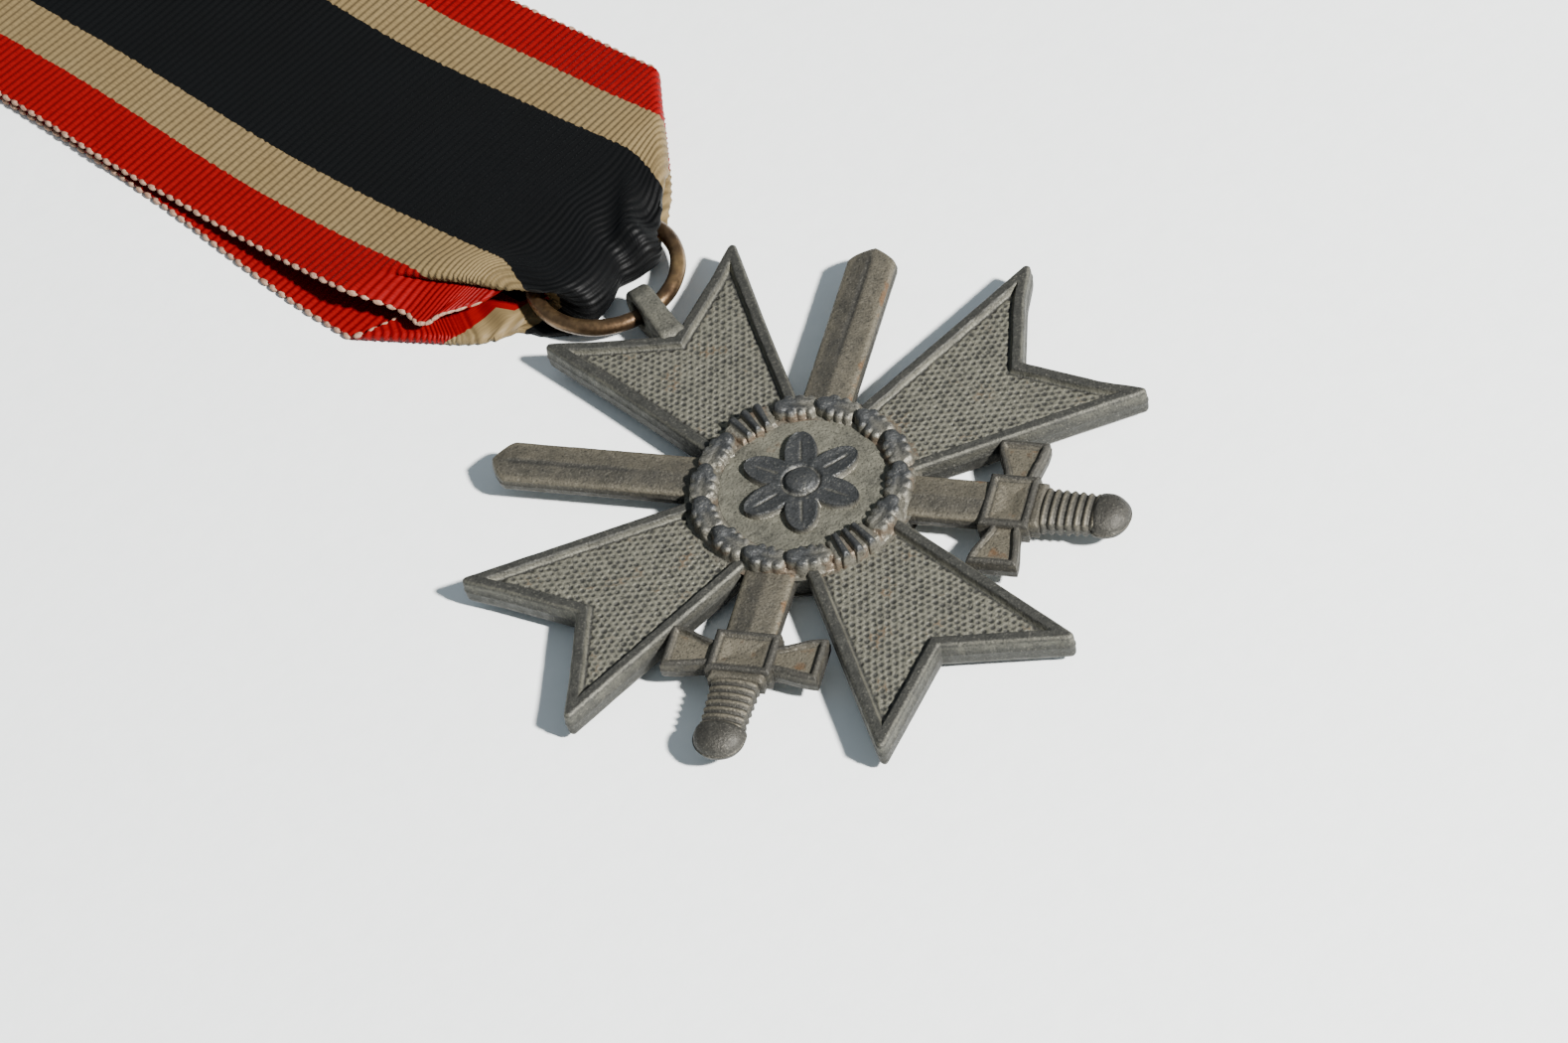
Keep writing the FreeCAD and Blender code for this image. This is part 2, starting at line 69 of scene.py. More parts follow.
PLATE_LOW, PLATE_TOP = node_range("cross_plate", 2)
ARM_REACH = node_range("cross_plate", 1)[1]
WREATH_OUTER = node_range("back_wreath", 0)[1]
WREATH_TOP = node_range("front_wreath", 2)[1]
JOINTS = {joint["name"]: joint for joint in frame["joints"]}
MID_LEVEL = JOINTS["ring_swing"]["pos_m"][2] / MM

# -------- small maths


def ease(low, high, value):
    """0 below low, 1 above high, and a smooth rise between them."""
    part = np.clip((value - low) / (high - low), 0.0, 1.0)
    return part * part * (3.0 - 2.0 * part)


def hill(value, middle, width):
    """1 at middle, falling smoothly to almost 0 two widths away."""
    return np.exp(-((value - middle) / width) ** 2)


def worn(border, width):
    """1 at an edge, falling to 0 at width inside it: how much a rounded edge has come down."""
    return np.clip(1 - border / width, 0, 1) ** 2


def scatter(column, row, salt):
    """A repeatable number from 0 to 1 for each cell of a lattice."""
    mixed = np.sin(column * 127.1 + row * 311.7 + salt * 74.7) * 43758.5453
    return mixed - np.floor(mixed)


def soft_noise(x, y, salt):
    """Smooth noise from -1 to 1 over a lattice of pitch 1."""
    column, row = np.floor(x), np.floor(y)
    across, along = ease(0, 1, x - column), ease(0, 1, y - row)
    near = scatter(column, row, salt) * (1 - across) + scatter(column + 1, row, salt) * across
    far = scatter(column, row + 1, salt) * (1 - across) + scatter(column + 1, row + 1, salt) * across
    return 2.0 * (near * (1 - along) + far * along) - 1.0


def once_round(count):
    """Evenly spaced angles, once round."""
    return np.linspace(0, 2 * math.pi, count, endpoint=False)


def unit(vectors):
    return vectors / np.maximum(np.linalg.norm(vectors, axis=-1, keepdims=True), 1e-9)


def turned(points, degrees):
    """Points turned about Z."""
    angle = math.radians(degrees)
    cosine, sine = math.cos(angle), math.sin(angle)
    x, y, z = points[..., 0], points[..., 1], points[..., 2]
    return np.stack([cosine * x - sine * y, sine * x + cosine * y, z], axis=-1)


# -------- meshes


FLIPPED = [0, 3, 2, 1]


def quads(index):
    """Faces between the points of a lattice of point numbers."""
    corners = [index[:-1, :-1], index[:-1, 1:], index[1:, 1:], index[1:, :-1]]
    return np.stack(corners, axis=-1).reshape(-1, 4)


def wrapped(index):
    """The lattice with its first column once more at the end, so that it closes round."""
    return np.concatenate([index, index[:, :1]], axis=1)


def grid_faces(rows, columns, first=0, wrap=False):
    index = first + np.arange(rows * columns).reshape(rows, columns)
    return quads(wrapped(index) if wrap else index)


def patch_outline(index):
    """The numbers round the edge of a four-sided patch, once round."""
    return np.concatenate([index[0, :-1], index[:-1, -1], index[-1, :0:-1], index[:0:-1, 0]])


def make_object(name, shell, material, crease=55):
    """A mesh object from a shell: points in millimetres, faces, and a tone for each point: how raised,
    rubbed and dirty it is, with painted shade.
    """
    points, faces, tone = shell
    mesh = bpy.data.meshes.new(name)
    mesh.from_pydata((points * MM).tolist(), [], faces.tolist())
    if tone is not None:
        mesh.attributes.new("tone", "FLOAT", "POINT").data.foreach_set("value", tone)
    mesh.shade_smooth()
    mesh.set_sharp_from_angle(angle=math.radians(crease))
    mesh.materials.append(material)
    piece = bpy.data.objects.new(name, mesh)
    bpy.context.scene.collection.objects.link(piece)
    return piece


def join_shells(shells):
    """Several (points, faces, tone) shells as one."""
    points, faces, tones, count = [], [], [], 0
    for shell_points, shell_faces, shell_tone in shells:
        points.append(shell_points)
        faces.append(shell_faces + count)
        tones.append(shell_tone)
        count += len(shell_points)
    return np.concatenate(points), np.concatenate(faces), np.concatenate(tones)


# Where the side walls of a casting have points between front and back, and how far each
# stands out: the two halves of the mould leave a raised seam half way up.
WALL_STEPS = [(0.12, 0.5), (0.42, 0.9), (0.47, 1.8), (0.53, 1.8), (0.58, 0.9), (0.88, 0.5)]
# Tone at the top and at the bottom of a wall; the rise between them is painted shade, darker towards the
# floor.
WALL_SHADE_TONE = (0.55, 1.25)


def wall_between(front_loop, back_loop, first, count, draft):
    """New points and faces of the wall from one closed loop of points to the one below it."""
    tangent = np.roll(front_loop, -1, axis=0) - np.roll(front_loop, 1, axis=0)
    outward = unit(np.stack([tangent[:, 1], -tangent[:, 0]], axis=-1))
    levels = []
    for part, reach in WALL_STEPS:
        level = front_loop * (1 - part) + back_loop * part
        level[:, :2] += outward * draft * reach
        levels.append(level)
    new_points = np.concatenate(levels)
    new_index = count + np.arange(len(new_points)).reshape(len(levels), -1)
    index = wrapped(np.concatenate([first[0][None, :], new_index, first[1][None, :]]))
    return new_points, quads(index)[:, FLIPPED]


def casting(place, front, back, rows, columns, wrap=False, draft=0.05):
    """A closed shell whose front and back are height fields over one patch of the plan.

    place(u, v) gives x and y, and front(x, y) and back(x, y) give z and the tone there.
    With wrap, u goes all the way round, v from the outside in.
    """
    last = 1.0 - 1.0 / columns if wrap else 1.0
    v, u = np.meshgrid(np.linspace(0, 1, rows), np.linspace(0, last, columns), indexing="ij")
    x, y = place(u, v)
    area = np.sum((x[1:, 1:] - x[:-1, :-1]) * (y[1:, :-1] - y[:-1, 1:])
                  - (y[1:, 1:] - y[:-1, :-1]) * (x[1:, :-1] - x[:-1, 1:]))
    if area < 0:
        x, y = x[:, ::-1], y[:, ::-1]
    top, top_tone = front(x, y)
    low, low_tone = back(x, y)
    upper = np.stack([x, y, top], axis=-1).reshape(-1, 3)
    lower = np.stack([x, y, low], axis=-1).reshape(-1, 3)
    count = rows * columns
    faces = [grid_faces(rows, columns, 0, wrap), grid_faces(rows, columns, count, wrap)[:, ::-1]]
    index = np.arange(count).reshape(rows, columns)
    loops = [index[0], index[-1][::-1]] if wrap else [patch_outline(index)]
    points = [upper, lower]
    total = 2 * count
    for loop in loops:
        new_points, new_faces = wall_between(upper[loop], lower[loop], (loop, loop + count), total, draft)
        points.append(new_points)
        faces.append(new_faces)
        total += len(new_points)
    # The lower a wall, the darker: painted shade towards the floor.
    levels = [WALL_SHADE_TONE[0] + (WALL_SHADE_TONE[1] - WALL_SHADE_TONE[0]) * part for part, _ in WALL_STEPS]
    tones = [top_tone.ravel(), low_tone.ravel(), *(np.repeat(levels, len(loop)) for loop in loops)]
    return np.concatenate(points), np.concatenate(faces), np.concatenate(tones)


# -------- materials


class Shader:
    """A node material that is put together one named step at a time."""

    def __init__(self, name):
        self.material = bpy.data.materials.new(name)
        self.material.use_nodes = True
        self.tree = self.material.node_tree
        self.tree.nodes.clear()
        self.surface = self.add("ShaderNodeBsdfPrincipled")
        output = self.add("ShaderNodeOutputMaterial")
        self.tree.links.new(self.surface.outputs["BSDF"], output.inputs["Surface"])

    def add(self, kind, **settings):
        node = self.tree.nodes.new(kind)
        for name, value in settings.items():
            setattr(node, name, value)
        return node

    def feed(self, node, **inputs):
        """Set inputs by name, with _ for a space, to a value or to another node's output."""
        for name, value in inputs.items():
            self.plug(node.inputs[name.replace("_", " ")], value)
        return node

    def plug(self, socket, value):
        if isinstance(value, bpy.types.NodeSocket):
            self.tree.links.new(value, socket)
        elif hasattr(value, "__len__") and len(value) == 3 and len(socket.default_value) == 4:
            socket.default_value = (*value, 1.0)
        else:
            socket.default_value = value

    def noise(self, per_mm, detail=4.0, place=None, stretch=None):
        """Noise with about per_mm blobs to the millimetre, from 0 to 1."""
        place = place or self.add("ShaderNodeTexCoord").outputs["Object"]
        if stretch:
            mapping = self.feed(self.add("ShaderNodeMapping"), Vector=place)
            mapping.inputs["Scale"].default_value = stretch
            place = mapping.outputs["Vector"]
        node = self.add("ShaderNodeTexNoise")
        self.feed(node, Vector=place, Scale=per_mm / MM, Detail=detail, Roughness=0.55)
        return node.outputs["Fac"]

    def ramp(self, value, stops, interpolation="LINEAR"):
        """stops is a list of (position, colour or grey)."""
        node = self.add("ShaderNodeValToRGB")
        node.color_ramp.interpolation = interpolation
        elements = node.color_ramp.elements
        while len(elements) < len(stops):
            elements.new(1.0)
        for element, (position, colour) in zip(elements, stops):
            element.position = position
            element.color = (*colour, 1.0) if hasattr(colour, "__len__") else (colour, colour, colour, 1.0)
        self.plug(node.inputs["Fac"], value)
        return node.outputs["Color"]

    def mix(self, factor, first, second, blend="MIX"):
        node = self.add("ShaderNodeMix", data_type="RGBA", blend_type=blend)
        self.plug(node.inputs["Factor"], factor)
        self.plug(node.inputs[6], first)
        self.plug(node.inputs[7], second)
        return node.outputs[2]

    def maths(self, operation, first, second=0.0, third=0.0):
        node = self.add("ShaderNodeMath", operation=operation)
        for socket, value in zip(node.inputs, (first, second, third)):
            self.plug(socket, value)
        return node.outputs["Value"]

    def moved(self, value, noise):
        """The value, up to a quarter more or less with the noise."""
        return self.maths("MULTIPLY_ADD", noise, 0.5, self.maths("SUBTRACT", value, 0.25))

    def bump(self, height, depth_mm, strength=1.0, normal=None):
        node = self.add("ShaderNodeBump")
        self.feed(node, Height=height, Distance=depth_mm * MM, Strength=strength)
        if normal:
            self.plug(node.inputs["Normal"], normal)
        return node.outputs["Normal"]


def zinc(name, raised, sunk, rust, rubbed_roughness=0.52):
    """Old zinc: dark where it is raised, paler where it is sunk, black in pits, spotted ochre.

    The tone attribute is 0 where it is sunk, 1 where it is raised and up to 2 in dirty pits; its higher
    values also carry painted shade low on walls, in grooves and between the grip's ribs.
    """
    shader = Shader(name)
    tone = shader.add("ShaderNodeAttribute", attribute_name="tone").outputs["Fac"]
    blotch = shader.noise(0.35, detail=3)
    grain = shader.noise(6.0, detail=5)
    speck = shader.noise(1.8, detail=4)
    level = shader.moved(shader.moved(tone, blotch), speck)
    base = shader.mix(shader.ramp(level, [(0.15, 0.0), (0.85, 1.0)]), sunk, raised)
    # Near black where the tone is high: dirt in the pits, and painted shade low on the walls, in the
    # grooves inside rims and between the grip's ribs.
    dirt_and_shade = shader.ramp(shader.maths("MULTIPLY", level, 0.5), [(0.52, 0.0), (0.80, 1.0)])
    base = shader.mix(dirt_and_shade, base, (0.018, 0.017, 0.014))
    freckles = shader.ramp(grain, [(0.30, 0.8), (0.48, 0.0), (0.72, 0.0)])
    freckled = shader.mix(freckles, base, (0.02, 0.02, 0.018))
    # Bare metal shows through as small bright grains.
    bare = shader.ramp(grain, [(0.58, 0.0), (0.74, 0.5)])
    dusted = shader.mix(bare, freckled, (0.20, 0.19, 0.155))
    patch = shader.maths("MULTIPLY", shader.noise(0.55, detail=5), shader.maths("SUBTRACT", 1.15, tone))
    rust_mask = shader.ramp(patch, [(0.60, 0.0), (0.72, rust)])
    colour = shader.mix(rust_mask, dusted, (0.11, 0.055, 0.022))
    roughness = shader.ramp(shader.noise(1.2), [(0.3, rubbed_roughness), (0.7, rubbed_roughness + 0.22)])
    fine = shader.bump(grain, 0.06, 1.0)
    rough = shader.bump(speck, 0.06, 0.6, fine)
    shader.feed(shader.surface, Base_Color=colour, Metallic=0.7, Roughness=roughness, Normal=rough)
    return shader.material


def bronze(name):
    """Brown bronze wire, darker where it is tarnished and golden where it is rubbed."""
    shader = Shader(name)
    cloud = shader.noise(0.4, detail=5)
    colour = shader.ramp(cloud, [(0.25, (0.05, 0.03, 0.018)), (0.5, (0.12, 0.075, 0.04)),
                                 (0.72, (0.26, 0.17, 0.08))])
    drawn = shader.noise(3.0, detail=3)
    roughness = shader.ramp(drawn, [(0.3, 0.28), (0.7, 0.5)])
    shader.feed(shader.surface, Base_Color=colour, Metallic=0.9, Roughness=roughness,
                Normal=shader.bump(drawn, 0.03, 0.6))
    return shader.material


RIBBON_WIDTH = 31.0
RED = (0.150, 0.0004, 0.0012)
CREAM = (0.142, 0.103, 0.049)
BLACK = (0.0028, 0.003, 0.0032)
# Widths of the woven stripes from the ribbon's left edge to its right edge.
STRIPES = [(4.8, RED), (4.1, CREAM), (14.0, BLACK), (4.0, CREAM), (4.1, RED)]
RIB_PITCH = 0.72
LOOP_PITCH = 1.5 * RIB_PITCH
LOOP_LONG, LOOP_WIDE, LOOP_THICK = 0.42, 0.20, 0.23


def silk(name):
    """Ribbed ribbon cloth in five stripes, with soft threads that run over each rib."""
    shader = Shader(name)
    across_along = shader.add("ShaderNodeUVMap", uv_map="strip").outputs["UV"]
    split = shader.feed(shader.add("ShaderNodeSeparateXYZ"), Vector=across_along)
    across, along = split.outputs["X"], split.outputs["Y"]
    thread = shader.noise(9.0 * MM, detail=2, place=across_along, stretch=(RIBBON_WIDTH, 5.0, 1.0))
    ragged = shader.noise(1.6 * MM, detail=1, place=across_along, stretch=(0.0, RIBBON_WIDTH, 1.0))
    edge = shader.maths("MULTIPLY_ADD", shader.maths("SUBTRACT", ragged, 0.5), 0.012, across)
    stops, reached = [], 0.0
    for width, colour in STRIPES:
        stops.append((reached / RIBBON_WIDTH, colour))
        reached += width
    stripe = shader.ramp(edge, stops, "CONSTANT")
    # Painted shade in the hollows between the ribs.
    wave = shader.maths("SINE", shader.maths("MULTIPLY", along, 2 * math.pi * RIBBON_WIDTH / RIB_PITCH))
    hollow = shader.ramp(shader.maths("MULTIPLY_ADD", wave, 0.5, 0.5), [(0.0, 0.38), (0.55, 0.0)])
    shaded = shader.mix(hollow, stripe, (0.0, 0.0, 0.0))
    faded = shader.noise(0.16 * MM, detail=4, place=across_along, stretch=(RIBBON_WIDTH,) * 3)
    stain = shader.ramp(faded, [(0.40, 0.0), (0.75, 0.30)])
    stained = shader.mix(stain, shaded, (0.72, 0.62, 0.48), "MULTIPLY")
    threads = shader.mix(shader.ramp(thread, [(0.3, 0.25), (0.6, 0.0)]), stained, (0.0, 0.0, 0.0))
    shader.feed(shader.surface, Base_Color=threads, Roughness=0.5, Specular_IOR_Level=0.09,
                Normal=shader.bump(thread, 0.04, 0.7))
    return shader.material


def mottled(name, per_mm, detail, stops, bump_mm, strength, **surface):
    """A plain surface whose colour and height follow one noise."""
    shader = Shader(name)
    mottle = shader.noise(per_mm, detail=detail)
    normal = shader.bump(mottle, bump_mm, strength)
    shader.feed(shader.surface, Base_Color=shader.ramp(mottle, stops), Normal=normal, **surface)
    return shader.material


PLATE_ZINC = zinc("plate_zinc", (0.042, 0.042, 0.037), (0.150, 0.145, 0.112), 0.5)
SWORD_ZINC = zinc("sword_zinc", (0.043, 0.041, 0.035), (0.112, 0.100, 0.073), 0.7)
WREATH_ZINC = zinc("wreath_zinc", (0.040, 0.042, 0.043), (0.135, 0.128, 0.104), 0.4, 0.42)
RING_BRONZE = bronze("ring_bronze")
RIBBON_SILK = silk("ribbon_silk")
THREAD_STOPS = [(0.3, (0.16, 0.08, 0.05)), (0.65, (0.30, 0.19, 0.13))]
SELVEDGE_THREAD = mottled("selvedge_thread", 4.0, 3, THREAD_STOPS, 0.04, 0.8, Roughness=0.7,
                          Specular_IOR_Level=0.2)

# -------- cross plate

TIP_HALF = 8.1
NOTCH_REACH = 18.8
ROOT_HALF = 2.1
# The tips run a little past the plan before their corners are rounded.
TIP_REACH = ARM_REACH + 0.22
SIDE_SLOPE = (TIP_HALF - ROOT_HALF) / ARM_REACH
END_SLOPE = (TIP_REACH - NOTCH_REACH) / TIP_HALF
SIDE_LENGTH = math.hypot(1, SIDE_SLOPE)
END_LENGTH = math.hypot(1, END_SLOPE)
TIP_RADIUS = 0.33
# The side's outward normal is (1, -SIDE_SLOPE) and the end's is (-END_SLOPE, 1).
TIP_COSINE = -(END_SLOPE + SIDE_SLOPE) / (SIDE_LENGTH * END_LENGTH)
TIP_INSIDE = TIP_RADIUS * SIDE_LENGTH - ROOT_HALF, TIP_RADIUS * END_LENGTH - NOTCH_REACH
TIP_MIDDLE_Y = (END_SLOPE * TIP_INSIDE[0] + TIP_INSIDE[1]) / (END_SLOPE * SIDE_SLOPE - 1)
TIP_MIDDLE = (SIDE_SLOPE * TIP_MIDDLE_Y - TIP_INSIDE[0], TIP_MIDDLE_Y)
ARM_START = 6.5
# An uneven tip starts to differ at this distance, and only its two corners do.
TIP_FROM = 10.0
CORNER_FROM, CORNER_FULL = 5.0, 7.6
RIM_WIDTH = 0.86
FIELD_DEPTH = 0.42
PIT_PITCH = 0.56
PIT_DEPTH = 0.11


def arm_plan(u, v):
    """One arm, pointing to +Y: straight rims in u and v, whatever the slope of its sides."""
    share = 2 * u - 1
    y = ARM_START + v * (NOTCH_REACH - ARM_START)
    for _ in range(8):
        x = share * (ROOT_HALF + SIDE_SLOPE * y)
        end = NOTCH_REACH + END_SLOPE * np.abs(x)
        y = ARM_START + v * (end - ARM_START)
    # Points beyond the middle of a tip's rounding draw back towards it, sharp corner to arc.
    side, end, inside, reach = past_tip(x, y)
    shrink = np.where(inside, np.maximum(side, end) / reach, 1.0)
    middle_x, middle_y = TIP_MIDDLE
    flip = np.where(x < 0, -1.0, 1.0)
    x = flip * (middle_x + (np.abs(x) - middle_x) * shrink)
    y = middle_y + (y - middle_y) * shrink
    return x, y


def past_tip(x, y):
    """How far a point is past the middle of a tip's rounding, along the normals of its two lines."""
    side = TIP_RADIUS - (ROOT_HALF + SIDE_SLOPE * y - np.abs(x)) / SIDE_LENGTH
    end = TIP_RADIUS - (NOTCH_REACH + END_SLOPE * np.abs(x) - y) / END_LENGTH
    across = (side - TIP_COSINE * end) / (1 - TIP_COSINE ** 2)
    along = (end - TIP_COSINE * side) / (1 - TIP_COSINE ** 2)
    inside = (across > 0) & (along > 0)
    reach = np.sqrt(np.maximum(across ** 2 + along ** 2 + 2 * across * along * TIP_COSINE, 1e-12))
    return side, end, inside, reach


def arm_border(x, y):
    """Distance from a point in an arm to the nearest of its sides and of the notch's two lines."""
    side, end, inside, reach = past_tip(x, y)
    return TIP_RADIUS - np.where(inside, reach, np.maximum(side, end))


def pits(x, y, salt):
    """Depth, from 0 to 1, of rows of round pits that lie between each other like a honeycomb."""
    row_pitch = PIT_PITCH * math.sqrt(3) / 2
    deepest = np.zeros_like(x)
    base_row = np.floor(y / row_pitch)
    for step in (0, 1):
        row = base_row + step
        shift = 0.5 * np.mod(row, 2)
        column = np.round(x / PIT_PITCH - shift)
        middle_x = (column + shift + 0.22 * (scatter(column, row, salt) - 0.5)) * PIT_PITCH
        middle_y = (row + 0.22 * (scatter(column, row, salt + 1) - 0.5)) * row_pitch
        size = 0.29 * PIT_PITCH * (0.80 + 0.4 * scatter(column, row, salt + 2))
        away = np.hypot(x - middle_x, y - middle_y) / size
        depth = np.exp(-away ** 3.0 * 0.7) * (0.6 + 0.4 * scatter(column, row, salt + 3))
        deepest = np.maximum(deepest, depth)
    return deepest


def arm_relief(x, y, salt):
    """Height over the rim and tone of one face of an arm."""
    border = arm_border(x, y)
    wobble = 0.035 * soft_noise(x / 1.1, y / 1.1, salt)
    rounding = -0.20 * worn(border, 0.26)
    step = ease(RIM_WIDTH - 0.10 + wobble, RIM_WIDTH + 0.14 + wobble, border)
    pitted = ease(RIM_WIDTH + 0.12, RIM_WIDTH + 0.34, border)
    hole = pits(x, y, salt)
    height = rounding - FIELD_DEPTH * step - PIT_DEPTH * pitted * hole
    height += 0.018 * soft_noise(x / 0.5, y / 0.5, salt + 5) * (1 - step)
    # Painted shadow: a dark line just inside the rim, where the rim's shadow falls on the field, over a
    # slight dip in the height.
    shaded_groove = hill(border, RIM_WIDTH + 0.22, 0.12)
    height -= 0.05 * shaded_groove
    tone = 0.95 * (1 - step) + step * (0.05 + 1.35 * hole * pitted) + 0.8 * shaded_groove
    edge_rub = hill(border, 0.10, 0.10)
    return height, np.clip(tone - 0.35 * edge_rub, -0.4, 2)


# Each arm's name, turn in degrees, grain, and how much longer and wider its tips are.
ARMS = [("arm_top", 0, 1, 0.40, 0.30), ("arm_left", 90, 101, 0.15, 0.05),
        ("arm_bottom", 180, 201, 0.0, 0.0), ("arm_right", 270, 301, 0.50, 0.15)]


def make_arm(name, degrees, salt, longer, wider):
    """One cast arm. The casting is uneven, so the tips are nearly but not quite alike."""
    def front(x, y):
        height, tone = arm_relief(x, y, salt)
        return PLATE_TOP + height, tone

    def back(x, y):
        height, tone = arm_relief(x, y, salt + 10)
        rounding = 0.20 * worn(arm_border(x, y), 0.5)
        return PLATE_LOW - height + rounding, tone

    points, faces, tone = casting(arm_plan, front, back, 176, 168)
    outer = np.clip((points[:, 1] - TIP_FROM) / (TIP_REACH - TIP_FROM), 0, None)
    outer *= ease(CORNER_FROM, CORNER_FULL, np.abs(points[:, 0]))
    points[:, 1] += longer * outer
    points[:, 0] *= 1 + wider / TIP_HALF * outer
    return make_object(name, (turned(points, degrees), faces, tone), PLATE_ZINC)


def cast(name, material, plan, front, back, rows, columns, **shape):
    return make_object(name, casting(plan, front, back, rows, columns, **shape), material)


def level_face(height, tone=0.3):
    """A flat face of a casting."""
    def face(x, y):
        return np.full_like(x, height), np.full_like(x, tone)
    return face


def ring_plan(outer, inner):
    """A flat ring, from the outside in."""
    def plan(u, v):
        angle = 2 * math.pi * u
        reach = outer + v * (inner - outer)
        return reach * np.cos(angle), reach * np.sin(angle)
    return plan


def make_hub():
    """The solid middle of the plate, which shows between the arms' sides and the swords."""
    front, back = level_face(PLATE_TOP - 0.45), level_face(PLATE_LOW + 0.05)
    plan = ring_plan(WREATH_OUTER - 0.15, 0.5)
    return cast("plate_hub", PLATE_ZINC, plan, front, back, 4, 120, wrap=True)


# -------- swords

SWORD_RISE = 0.30
SWORD_SHIFT = (-0.10, 0.40)
SWORD_LEVEL = MID_LEVEL + SWORD_RISE
BLADE_HALF = 1.85
BLADE_TIP = 23.45
BLADE_SHOULDER = 22.05
BLADE_START = 7.2
BLOCK_NEAR, BLOCK_FAR, BLOCK_HALF = 13.8, 17.4, 2.35
GUARD_REACH = 5.7
GUARD_NEAR, GUARD_FAR, GUARD_FLARE = 14.7, 16.85, 1.0
COLLAR_FAR = 18.05
GRIP_END = 22.0
GRIP_RIBS = 6


def mirrored(front, level):
    """The same relief on the other face."""
    def back(x, y):
        height, tone = front(x, y)
        return 2 * level - height, tone
    return back


def patch(x_low, x_high, half):
    """A plan along X whose half width is a number or a function of x."""
    def plan(u, v):
        x = x_low + v * (x_high - x_low)
        width = half(x) if callable(half) else half
        return x, (2 * u - 1) * width
    return plan


def blade_half(x):
    """Half the blade's width: it narrows to a blunt, rounded point."""
    past = np.clip((np.abs(x) - BLADE_SHOULDER) / (BLADE_TIP - BLADE_SHOULDER), 0, 0.995)
    return BLADE_HALF * (1 - past ** 1.45) ** 0.85


def blade_front(x, y):
    """Two facets that meet in a low ridge, with a shallow fuller along it towards the point."""
    border = np.minimum(BLADE_HALF - np.abs(y), (blade_half(x) - np.abs(y)) * 0.75)
    facet = 0.62 + 0.30 * np.clip(border / BLADE_HALF, 0, 1)
    rounding = -0.16 * worn(border, 0.22)
    dent = 0.02 * soft_noise(x / 1.3, y / 0.7, 31) + 0.012 * soft_noise(x / 0.3, y / 0.3, 32)
    along = ease(9, 17, x) * (1 - ease(21.6, 22.6, x))
    fuller = -0.09 * hill(y, 0.12, 0.20) * along
    # The edges are paler. Painted shade: the facet on the +y side is darker, and the fuller darker still.
    tone = 0.42 + 0.25 * ease(-0.2, 0.3, y) - 0.45 * hill(border, 0, 0.35)
    return SWORD_LEVEL + facet + rounding + fuller + dent, np.clip(tone - 5 * fuller, -0.4, 1)


def block_front(x, y):
    """A square boss with a raised rim round a four-sided hollow."""
    border = np.minimum(BLOCK_HALF - np.abs(y), np.minimum(-BLOCK_NEAR - x, x + BLOCK_FAR))
    rounding = -0.20 * worn(border, 0.24)
    step = ease(0.40, 0.56, border)
    hollow = -0.14 * step - 0.24 * ease(0.5, 1.75, border)
    # Painted shade: dark lines along the hollow's diagonal creases and in the groove inside the rim.
    crossed = np.abs(np.abs(y) - np.abs(x + (BLOCK_NEAR + BLOCK_FAR) / 2))
    shaded_groove = hill(border, 0.62, 0.10)
    tone = 0.9 - 0.75 * step + 0.5 * shaded_groove + 0.2 * hill(crossed, 0, 0.12) * step
    return SWORD_LEVEL + 1.0 + rounding + hollow - 0.05 * shaded_groove, tone


def guard_edges(y):
    """Near and far side of a guard arm at a distance y from the sword's middle line."""
    part = ease(0, 1, (np.abs(y) - BLOCK_HALF + 0.3) / (GUARD_REACH - BLOCK_HALF))
    return -GUARD_NEAR + GUARD_FLARE * part, -GUARD_FAR - 0.45 * part


def guard_plan(side):
    def plan(u, v):
        y = side * (BLOCK_HALF - 0.3 + v * (GUARD_REACH - BLOCK_HALF + 0.3))
        near, far = guard_edges(y)
        return near + u * (far - near), y
    return plan


def guard_front(x, y):
    """A flared arm with raised rims round a sunk triangle."""
    near, far = guard_edges(y)
    border = np.minimum(np.minimum(near - x, x - far), GUARD_REACH - np.abs(y))
    rounding = -0.18 * worn(border, 0.22)
    step = ease(0.36, 0.52, border)
    # Painted shade in the groove inside the rims.
    shaded_groove = hill(border, 0.56, 0.10)
    tone = 0.85 - 0.8 * step + 0.6 * shaded_groove
    return SWORD_LEVEL + 0.80 + rounding - 0.30 * step + 0.012 * soft_noise(x / 0.4, y / 0.4, 43), tone


def collar_front(x, y):
    border = np.minimum(2.0 - np.abs(y), np.minimum(-BLOCK_FAR + 0.15 - x, x + COLLAR_FAR))
    return SWORD_LEVEL + 0.84 - 0.25 * worn(border, 0.3), np.full_like(x, 0.45)


def grip_wave(x):
    """1 on top of a rib of the grip and 0 between ribs."""
    along = (-COLLAR_FAR + 0.1 - x) / (GRIP_END - COLLAR_FAR) * (GRIP_RIBS + 0.5)
    return (0.5 - 0.5 * np.cos(2 * math.pi * along)) ** 0.7


def grip_half(x):
    return 1.56 - 0.05 * (-x - COLLAR_FAR) + 0.13 * grip_wave(x)


def grip_front(x, y):
    half = grip_half(x)
    crown = np.sqrt(np.clip(1 - (0.93 * y / half) ** 2, 0, 1))
    height = 0.26 + 0.50 * crown + 0.22 * grip_wave(x) * crown ** 0.5
    # Painted shade between the grip's ribs, paler on their crests.
    return SWORD_LEVEL + height, 1.3 - 1.1 * grip_wave(x)


POMMEL_START, POMMEL_MIDDLE, POMMEL_END, POMMEL_HALF = -21.75, -22.55, -24.3, 1.84


